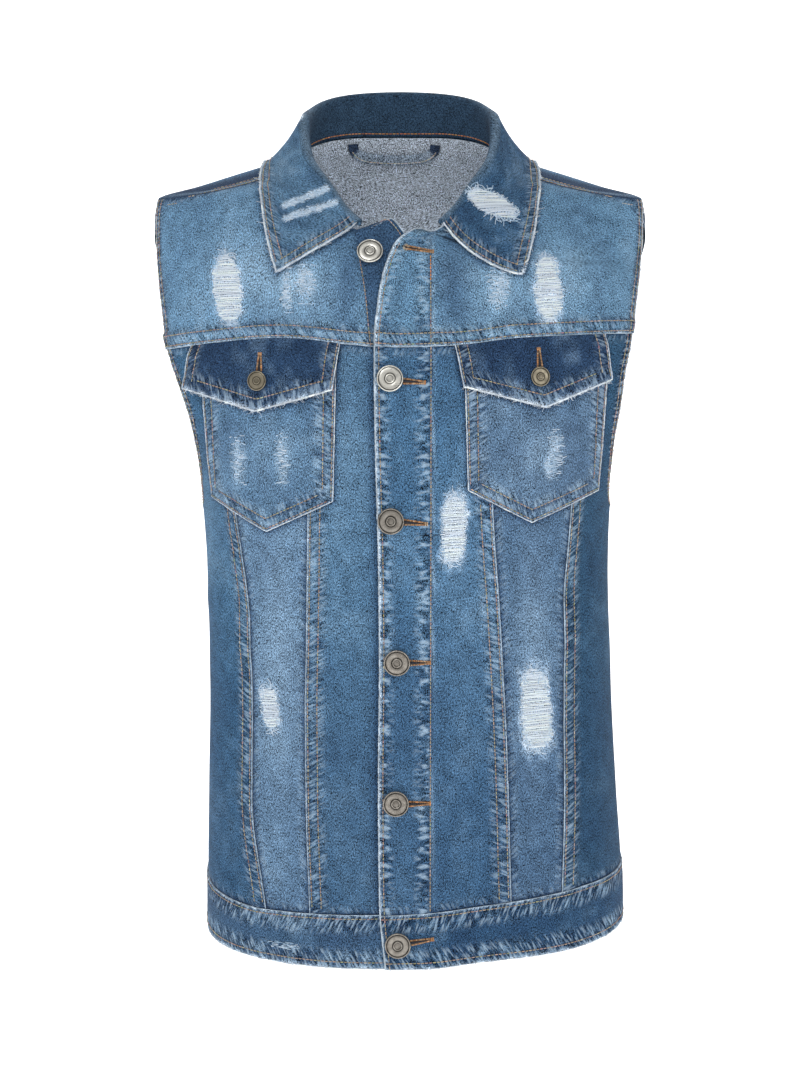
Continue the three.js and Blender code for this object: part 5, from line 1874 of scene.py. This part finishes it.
def collar_grid():
    """The middle of the collar's cloth, and the number of rows in its stand and roll"""
    share = spread(COLLAR_WIDTH, COLLAR_WIDTH / COLLAR_COLUMNS)
    roll = round_back([row[1] for row in COLLAR], 0)
    rim = round_back([row[3] for row in COLLAR], 0)
    turn, radius, _ = round_back([(row[0], row[2], 0) for row in COLLAR], 360).T
    neck_z = neck_height(np.abs(wrapped(turn)))
    body = body_point(turn, neck_z)
    ahead = (body[:, 0] > 0) & (body[:, 1] < 0)
    seam = cloth_point(turn, neck_z, np.where(ahead, left_lift(body[:, 0]), 0) - CLOTH / 2)
    up = unit(roll - seam)
    out = unit(np.cross(unit(np.gradient(roll, axis=0)), up))
    centre = roll - up * (radius + COLLAR_WALL / 2)[:, None]
    start = seam + up * STAND_GAP
    arc = []
    for angle in ARC_ANGLES:
        point = centre + (-out * np.cos(angle) + up * np.sin(angle)) * radius[:, None]
        arc.append(clear_of_body(point) if angle > math.pi / 2 else point)
    rows = [mix(start, arc[0], step) for step in np.linspace(0, 1, STAND_ROWS, endpoint=False)] + arc
    fold = len(rows)
    near_end = np.minimum(share, 1 - share)
    bow = np.where(share < 0.5, *END_BOW) * (1 - ease(0, END_REACH, near_end))
    for step in spread(FALL_LENGTH, 2.4)[1:]:
        point = mix(arc[-1], rim, step) - out * FALL_HOLLOW * np.sin(np.pi * step)
        point[:, 2] -= bow * np.sin(np.pi * min(step, 1)) ** END_BOW_POWER
        rows.append(clear_of_body(point))
    return np.array(rows), fold


class Collar(Tinted):
    """The collar's cloth, from the neck seam over the roll to its outer edge"""

    def __init__(self):
        self.middle, self.fold = collar_grid()
        super().__init__(self.middle.shape[:2], COLLAR_COLOUR)
        self.out = np.zeros(self.middle.shape[:2])
        self.down = cumulative(self.middle, 0)
        self.across = cumulative(self.middle, 1)
        self.bottom = self.down[-1:] - self.down
        self.ends = np.minimum(self.across, self.across[:, -1:] - self.across)
        self.past_roll = self.down - self.down[self.fold - 5]
        self.falling = np.maximum(0, self.past_roll)
        self.stand = 1 - ease(0, 6, self.falling)

    def wash_and_paint_light(self):
        x = self.middle[..., 0]
        # Painted light on the half on the wearer's right, and painted shade on the half on the left
        self.toward(COLLAR_LIT, 0.55 * ease(20, 60, -x) * (self.bottom > 0))
        self.toward(INK_AND_SHADE, 0.14 * ease(20, 60, x))
        wide = noise(self.across / 24, self.down / 20, 3) + 0.7 * noise(self.across / 7, self.down / 7, 9)
        self.toward(WORN, np.maximum(0, 0.2 * wide))
        self.toward(INK_AND_SHADE, np.maximum(0, -0.25 * wide))
        self.toward(COLLAR_STAND, 0.92 * self.stand)

    def gather_edges(self):
        """Ripples, two rows of stitches and worn cloth along the outer edge and both ends"""
        across, down, bottom, ends = self.across, self.down, self.bottom, self.ends
        edge = np.where(self.falling > 12, np.minimum(bottom, ends), bottom)
        window = 1 - ease(9, 16, bottom)
        window_ends = (1 - ease(9, 16, ends)) * (1 - self.stand)
        bumps = ripples(across, bottom, 3.4, 9, 13) * window
        bumps_ends = noise(down / 3.4, ends / 9, 15) * window_ends
        self.out += 0.25 * bumps + 0.2 * bumps_ends
        self.shade(0.4 * bumps + 0.4 * bumps_ends)
        for row in COLLAR_ROWS:
            groove(self, edge - row, 1 - self.stand, 0.25, 0.9, 0.45)
        self.gathers = np.clip(window + window_ends, 0, 1) * (1 - self.stand)
        run = np.where(bottom < ends, across, down) + 0.4 * edge
        self.seam_uv = np.stack([run / GATHER_STEP, edge / GATHER_LENGTH], -1)
        self.toward(WHITE_THREAD, 0.9 * bell(edge, 1.3))
        self.toward(WORN, 0.35 * bell(self.past_roll, 3.0))

    def rub(self):
        """The rubbed strokes, the torn patch and the spot"""
        x, y, z = np.moveaxis(self.middle, -1, 0)
        front = (y < 30) * ease(0, 4, self.falling)
        for stroke in COLLAR_STROKES:
            off = path_distance(x, z, stroke) + 0.9 * noise(x / 2.4, z / 2.4, 29)
            self.toward(STROKE_COLOUR, 0.85 * (1 - ease(1.2, 3.6, off)) * front)
        patch_x, patch_z, half_x, half_z, lean = COLLAR_PATCH
        far = np.hypot((x - patch_x - lean * (z - patch_z)) / half_x, (z - patch_z) / half_z)
        rough = far + 0.15 * noise(x / 3, z / 3, 31)
        self.toward(PATCH_COLOUR, 0.9 * (1 - ease(0.75, 1.15, rough)) * front)
        spot = np.hypot((x - COLLAR_SPOT[0]) / 3, (z - COLLAR_SPOT[1]) / 4)
        self.toward(SPOT_COLOUR, 0.9 * (1 - ease(0.5, 1.2, spot)) * (y < 60))

    def finish(self):
        normals = grid_normals(self.middle)
        self.points = self.middle + normals * (COLLAR_WALL / 2 + self.out)[..., None]
        self.normals = grid_normals(self.points)
        vertices, faces = solid_grid(self.points, self.middle - normals * (COLLAR_WALL / 2))
        tints = stacked(self.tint, np.broadcast_to(COLLAR_REVERSE, self.middle.shape))
        uv = np.stack([self.across, self.down], -1)
        marks = seam_marks(self.gathers, self.seam_uv)
        obj = add_object("collar_cloth", vertices, faces, tints, [DENIM], stacked(uv, uv), None, marks)
        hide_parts("collar")
        width = float(self.across[:, -1].max()) * MM
        length = float(self.down[-1].max()) * MM
        cut_area(self.middle, width * length)

    def sew(self):
        """Fraying, worn cords and stitches along the outer edge and both ends"""
        fray(*border_line(self, "bottom"), 2.6, 1.0, spread=0.8)
        cord_edge(self, "bottom", COLLAR_CORD)
        free = slice(self.fold, None)
        for border in ("left", "right"):
            fray(*(line[free] for line in border_line(self, border)), 2.6, 1.0, spread=0.8)
            cord_edge(self, border, COLLAR_CORD, lambda line: free)
        for row in COLLAR_ROWS:
            sew(*line_at(self, self.bottom, row, along_rows=False), start=0.012, end=0.988)
            for distance in (self.across, self.across[:, -1:] - self.across):
                line, up = line_at(self, distance, row)
                sew(line[free], up[free], end=0.93)
        sew(*line_at(self, self.down, 2.2, along_rows=False), ORANGE)


def make_collar():
    """The collar, and the surface that its torn yarns lie on"""
    collar = Collar()
    collar.wash_and_paint_light()
    collar.gather_edges()
    collar.rub()
    collar.finish()
    collar.sew()
    return nearby_surface(collar.points[collar.fold:], collar.normals[collar.fold:])


NEAREST = 4


def nearby_surface(points, normals):
    """Places on a grid's front part from x and z, for the yarns that lie on it"""
    ahead = points[..., 1] < 30
    points, normals = points[ahead], normals[ahead]

    def place(x, z, out):
        x, z, out = np.broadcast_arrays(x, z, out)
        off = (x[..., None] - points[:, 0]) ** 2 + (z[..., None] - points[:, 2]) ** 2
        near = np.argpartition(off, NEAREST, axis=-1)[..., :NEAREST]
        weight = 1 / (np.take_along_axis(off, near, -1) + 0.05)
        weight = (weight / weight.sum(-1, keepdims=True))[..., None]
        up = unit((normals[near] * weight).sum(-2))
        y = (points[near][..., 1] * weight[..., 0]).sum(-1)
        return np.stack([x, y, z], -1) + up * out[..., None], up

    return place


def make_loop():
    """The hanger loop inside the back of the neck, tacked down at both ends"""
    share = np.linspace(0, 1, LOOP_LENGTH)
    point = along(smooth_line(LOOP_PATH[::-1]))(share)
    forward = unit(np.gradient(point, axis=0))
    side = np.linspace(-0.5, 0.5, 9)[:, None]
    x = point[:, 0] - forward[:, 1] * side * LOOP_WIDTH
    z = point[:, 1] + forward[:, 0] * side * LOOP_WIDTH
    turn = back_turn(x, z)
    round_off = 0.35 * (2 * np.abs(side)) ** 4
    face = cloth_point(turn, z, np.zeros(x.shape) - CLOTH - LOOP_GAP - LOOP_WALL + round_off)
    back = cloth_point(turn, z, np.zeros(x.shape) - CLOTH - LOOP_GAP)
    run = share[None, :] * LOOP_LENGTH
    light = noise(run / 3, side * 2, 41)[..., None] * 16
    tacked = 1 - ease(0.06, 0.1, np.minimum(share, 1 - share))[None, :, None]
    tint = np.broadcast_to(mix(LOOP_COLOUR + light, TACK_COLOUR, tacked), face.shape)
    uv = np.stack(np.broadcast_arrays(run, side * LOOP_WIDTH), -1)
    vertices, faces = solid_grid(face, back)
    tints = stacked(tint, tint)
    obj = add_object("hanger_loop_cloth", vertices, faces, tints, [DENIM_BACK], stacked(uv, uv))
    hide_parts("hanger_loop")
    inward = unit(face - back)
    sew(face[6], inward[6], CREAM, start=0.06, end=0.94)


# Rips, scuffs and buttonholes

BOX_POWER = 2.6
WEFT_STEP = 0.8
STROKE_YARNS = 150


def on_cloth(x, z, out):
    """Points on the front and the way out of the cloth there"""
    lift = np.where(x > -20, left_lift(x), 0)
    points = cloth_point(front_turn(x, z), z, out + lift)
    return points, unit(fullness_slope(points))


def lay_yarns(place, x, z, out, palest, radius):
    """Loose yarns on a surface, each between pale blue and white"""
    points, normals = place(x, z, out)
    count = len(points)
    tints = mix(PALE_BLUE, WHITE_THREAD, random.uniform(palest, 1, (count, 1)))
    YARNS.add(points, normals[:, 2], random.uniform(*radius, (count, 1)), tints)


def make_rip(x, z, half_x, half_z, lean, place=on_cloth):
    """White weft yarns across a hole in the warp, with tufts all round it"""
    rows = np.arange(-half_z, half_z, WEFT_STEP)
    count = len(rows)
    share = rows / half_z
    half = half_x * (1 - np.abs(share) ** BOX_POWER) ** (1 / BOX_POWER)
    half = (half * ragged(share, x) * random.uniform(0.88, 1.15, count))[:, None]
    t = np.linspace(-1, 1, YARN_POINTS)
    bow = random.normal(0.3, 0.5, (count, 1)) * (1 - t**2)
    tilt = random.normal(0.3, 0.3, (count, 1)) * t
    yarn_x = x + lean * rows[:, None] + half * t + random.normal(0, 0.5, (count, 1))
    yarn_z = z + rows[:, None] + bow + tilt
    points, normals = place(yarn_x, yarn_z, 0.3 + 0.4 * (1 - t**2))
    tints = WHITE_THREAD * random.uniform(0.93, 1.08, (count, 1))
    YARNS.add(points, normals[:, 2], random.uniform(0.38, 0.56, (count, 1)), tints)
    make_tufts(x, z, half_x, half_z, lean, place)


def make_tufts(x, z, half_x, half_z, lean, place):
    """Short, curled yarns all round a rip, longest above and below it"""
    count = int((half_x + half_z) * 6)
    angle = random.uniform(0, 2 * np.pi, count)
    length = (1.2 + 5.5 * np.abs(np.sin(angle)) ** 2) * random.uniform(0.4, 1.3, count)
    curl = random.normal(0, 1.3, count)[:, None]
    t = np.linspace(0, 1, YARN_POINTS)
    heading = (angle + random.normal(0, 0.6, count))[:, None] + curl * t
    start_z = half_z * np.sin(angle) * random.uniform(0.86, 1.04, count)
    start_x = x + lean * start_z + half_x * np.cos(angle) * random.uniform(0.85, 1.05, count)
    tuft_x = start_x[:, None] + length[:, None] * t * np.cos(heading)
    tuft_z = z + start_z[:, None] + length[:, None] * t * np.sin(heading)
    out = 0.25 + random.uniform(0, 0.8, (count, 1)) * t
    lay_yarns(place, tuft_x, tuft_z, out, 0.2, (0.26, 0.42))


def short_yarns(centre_x, centre_z, out, place=on_cloth):
    """Short white weft yarns where the surface is rubbed through"""
    count = len(centre_x)
    t = np.linspace(-1, 1, YARN_POINTS)
    yarn_x = centre_x[:, None] + random.uniform(0.6, 2.2, (count, 1)) * t
    yarn_z = centre_z[:, None] + random.normal(0, 0.3, (count, 1)) * t
    lay_yarns(place, yarn_x, yarn_z, out + 0.3 - 0.3 * t**2, 0.1, (0.2, 0.34))


def make_scuff(x, z, half_x, half_z, count, out):
    centre_x = x + half_x * np.clip(random.normal(0, 0.45, count), -1, 1)
    centre_z = z + half_z * np.clip(random.normal(0, 0.5, count), -1, 1)
    short_yarns(centre_x, centre_z, out)


def tear_collar(place):
    """Two rubbed strokes on its right side and a torn patch on its left"""
    for start, end in COLLAR_STROKES:
        share = random.uniform(0, 1, STROKE_YARNS)
        centre_x = mix(start[0], end[0], share) + random.normal(0, 0.6, STROKE_YARNS)
        centre_z = mix(start[1], end[1], share) + random.normal(0, 1.2, STROKE_YARNS)
        short_yarns(centre_x, centre_z, 0.0, place)
    make_rip(*COLLAR_PATCH, place)


LIP_WIDTH = 1.1
WRAP_STEP = 0.5
WRAP_ARCH = np.array((0.1, 0.55, 0.55, 0.1))


def make_buttonhole(start, end, opening, out, eye):
    """Two lips of close stitches that meet in a bar, open at the end by the button"""
    start, end = np.array(start, float), np.array(end, float)
    run = end - start
    length = np.hypot(*run)
    ahead = run / length
    beside = np.array((-ahead[1], ahead[0]))
    share = np.arange(0, 1, WRAP_STEP / length)
    across = np.array((-0.5, -0.25, 0.25, 0.5)) * LIP_WIDTH
    for lip in (-1, 1):
        off = lip * (opening * (1 - share) ** 0.8 / 2 + LIP_WIDTH / 2)
        places = start + share[:, None] * run + off[:, None] * beside
        places = places[:, None] + across[:, None] * beside
        add_wraps(places, out + WRAP_ARCH)
    bar = end + np.linspace(-0.6, 0.6, 4)[:, None] * ahead
    places = bar[:, None] + np.linspace(-1.5, 1.5, 4)[:, None] * beside
    add_wraps(places, out + 0.25 + WRAP_ARCH)
    slit = start + np.linspace(-0.05, 0.9, 4)[:, None] * run
    points, normals = on_cloth(slit[:, 0], slit[:, 1], out + 0.1)
    # A dark strand along the slit: painted shade in the buttonhole's opening
    WRAPS.add(points[None], normals[1:2], np.array((1.0, 0.9, 0.6, 0.3)) * max(opening, 0.8) * 0.55, SLIT_SHADE)
    if eye:
        angle = np.linspace(0, 2 * np.pi, 18, endpoint=False)
        spoke = np.stack([np.cos(angle), np.sin(angle)], -1)
        radius = np.array((1.0, 1.4, 2.2, 2.6))
        add_wraps(start + radius[:, None] * spoke[:, None], out + WRAP_ARCH, CREAM)


def add_wraps(places, out, colour=None):
    """Stitches over the cloth's edge, from places in x and z"""
    points, normals = on_cloth(places[..., 0], places[..., 1], out)
    count = len(places)
    base = mix(CREAM, ORANGE, random.uniform(0.2, 1, (count, 1))) if colour is None else colour
    tints = base * random.uniform(0.55, 1.05, (count, 1))
    WRAPS.add(points, normals[:, 1], 0.28, tints)


STAND_OUT = LAP + 0.3
FLAP_OUT = FLAP_OVER + FLAP_WALL + 0.35

# Rips: x, z, half width, half height, lean
RIPS = (
    (-133.3, -117.6, 8.6, 25, -0.1),
    (114.3, -118.3, 9.2, 24, -0.06),
    (41.2, -300.5, 9.6, 25.5, 0.04),
    (-101.3, -443, 7.0, 15.5, -0.12),
    (106, -443, 11.5, 31, -0.06),
)

# Scuffs: x, z, half width, half height, yarns, how far out the cloth's surface is
SCUFFS = (
    (-87.5, -119, 4.5, 17, 90, 0),
    (-73, -114, 8, 15, 120, 0),
    (75, -117, 8, 17, 110, 0),
    (80, -112, 5, 12, 40, 0),
    (-123.5, -249, 6, 19, 80, POCKET_SURFACE),
    (-89, -247, 5.5, 19, 90, POCKET_SURFACE),
    (119.5, -242, 6.5, 17, 90, POCKET_SURFACE),
    (115, -254, 5, 10, 40, POCKET_SURFACE),
    (-91, -633, 15, 2.6, 40, BAND_RISE),
)

# Buttonholes: the end by the button and the far end in x and z, opening, how far out, eye
BUTTONHOLES = (
    ((4.7, -87.6), (25.2, -90.8), 1.4, STAND_OUT - 0.5, True),
    ((2.4, -188.4), (18.6, -189.6), 2.6, STAND_OUT, False),
    ((3.0, -294.8), (20.2, -296.2), 2.6, STAND_OUT, False),
    ((7.6, -403.4), (22.7, -403.2), 2.6, STAND_OUT, False),
    ((6.8, -514.6), (23.0, -514.2), 2.6, STAND_OUT, False),
    ((8.4, -625.5), (25.6, -622.5), 2.6, BAND_RISE + 0.3, False),
    ((-106.4, -181.2), (-105.8, -168.0), 2.4, FLAP_OUT, False),
    ((105.6, -178.4), (104.7, -164.2), 2.4, FLAP_OUT, False),
)


# Buttons

# A button's profile, across and up in shares of its radius, and how bright the metal is there
BUTTON_PROFILE = (
    (0, 0.0, 0.3), (0.26, 0.0, 0.3), (0.26, 0.13, 0.3), (0.7, 0.15, 0.35), (0.93, 0.18, 0.5),
    (0.985, 0.22, 0.8), (1.0, 0.28, 1.1), (0.985, 0.34, 1.15), (0.945, 0.375, 1.15),
    (0.905, 0.37, 1.0), (0.88, 0.33, 0.3), (0.845, 0.32, 0.25), (0.81, 0.335, 0.8),
    (0.75, 0.345, 1.05), (0.62, 0.35, 1.1), (0.47, 0.345, 1.0), (0.42, 0.33, 0.45),
    (0.385, 0.33, 0.4), (0.36, 0.36, 0.8), (0.345, 0.385, 1.15), (0.31, 0.41, 1.15),
    (0.28, 0.4, 1.0), (0.25, 0.375, 0.6), (0.22, 0.368, 0.7), (0.18, 0.37, 0.95),
    (0.1, 0.375, 0.95), (0, 0.378, 1.0),
)
BUTTON_SIDES = 56
BUTTON_SEAT = 0.205
METAL_LIGHT = 225


def make_button(name, x, z, radius, metal):
    low, high = (np.array(corner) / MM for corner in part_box(name))
    turn = front_turn(x, z)
    normal = unit(fullness_slope(body_point(turn, z)))
    centre = (low + high) / 2 - normal * BUTTON_SEAT * radius
    side = unit(np.cross(normal, np.array((0, 0, 1.0))))
    up = np.cross(side, normal)
    across, rise, light = np.array(BUTTON_PROFILE).T[..., None]
    edge = across[..., None] * ring(side, up, BUTTON_SIDES)
    vertices = centre + radius * (edge + rise[..., None] * normal)
    faces = tube_faces(len(BUTTON_PROFILE), BUTTON_SIDES)
    tints = np.repeat(light * METAL_LIGHT, BUTTON_SIDES, axis=0) * np.ones(3)
    obj = add_object(name + "_metal", vertices.reshape(-1, 3), faces, tints, [METALS[metal]])
    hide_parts(name)


# Stage

# Lights: name, place, width, power
LIGHTS = (
    ("key", (-0.9, -2.4, 1.7), 1.2, 30),
    ("fill", (1.5, -2.4, 0.3), 1.6, 11),
    ("rear", (0.4, 2.0, 1.6), 1.6, 20),
)
LIGHTS_AIM = (0, 0, -0.3)
SKY_LIGHT = 0.42


def add_camera():
    data = bpy.data.cameras.new("camera")
    data.sensor_width = SENSOR_MM
    data.lens = FOCAL_PX / FRAME_HEIGHT_PX * SENSOR_MM
    camera = placed("camera", data)
    camera.location = EYE
    camera.rotation_euler = (math.radians(90 - PITCH_DOWN), 0, 0)
    bpy.context.scene.camera = camera


def add_light(name, place, size, power):
    data = bpy.data.lights.new(name, "AREA")
    data.shape = "DISK"
    data.size = size
    data.energy = power
    light = placed(name, data)
    light.location = place
    back = np.subtract(place, LIGHTS_AIM)
    flat = math.hypot(back[0], back[1])
    light.rotation_euler = (math.atan2(flat, back[2]), 0, math.atan2(back[0], -back[1]))


WHITE = (1, 1, 1, 1)
PAPER = (0.9, 0.9, 0.9, 1)
FLOOR_Z = -1.1
WALL_Y = 2.8
BEND_RADIUS = 1.2


def add_stage():
    """A pale floor that sweeps up behind into a pale wall"""
    bend = np.linspace(0, np.pi / 2, 12)
    y = np.concatenate([[-9.0], WALL_Y + BEND_RADIUS * (np.sin(bend) - 1), [WALL_Y]])
    z = np.concatenate([[FLOOR_Z], FLOOR_Z + BEND_RADIUS * (1 - np.cos(bend)), [5.0]])
    x = np.array((-9.0, 9.0))
    points = np.stack(np.broadcast_arrays(x[None, :], y[:, None], z[:, None]), -1).reshape(-1, 3)
    mesh = bpy.data.meshes.new("backdrop")
    mesh.from_pydata(points.tolist(), [], grid_faces(len(y), 2).tolist())
    mesh.polygons.foreach_set("use_smooth", np.ones(len(mesh.polygons), bool))
    paper = {"Base Color": PAPER, "Roughness": 0.9, "Emission Color": WHITE, "Emission Strength": 0.75}
    mesh.materials.append(Shader("paper").finish(paper))
    obj = placed("backdrop", mesh)


def add_world():
    world = bpy.data.worlds.new("studio")
    world.use_nodes = True
    background = world.node_tree.nodes["Background"]
    background.inputs["Color"].default_value = WHITE
    background.inputs["Strength"].default_value = SKY_LIGHT
    bpy.context.scene.world = world


def main():
    bpy.context.scene.view_settings.view_transform = "Standard"
    add_camera()
    add_world()
    add_stage()
    for light in LIGHTS:
        add_light(*light)
    for side in SIDES:
        make_front(side)
        make_front_yoke(side)
    make_bands()
    STITCHES.make("front_stitching")
    for side in SIDES:
        make_patches(side)
    STITCHES.make("pocket_stitching")
    make_back_yoke()
    make_back()
    STITCHES.make("back_stitching")
    collar_place = make_collar()
    make_loop()
    STITCHES.make("collar_stitching")
    YARNS.make("frayed_edges", sides=3)
    for rip in RIPS:
        make_rip(*rip)
    for scuff in SCUFFS:
        make_scuff(*scuff)
    tear_collar(collar_place)
    YARNS.make("torn_yarns", sides=3)
    for hole in BUTTONHOLES:
        make_buttonhole(*hole)
    WRAPS.make("buttonhole_stitching")
    for button in BUTTONS:
        make_button(*button)


main()
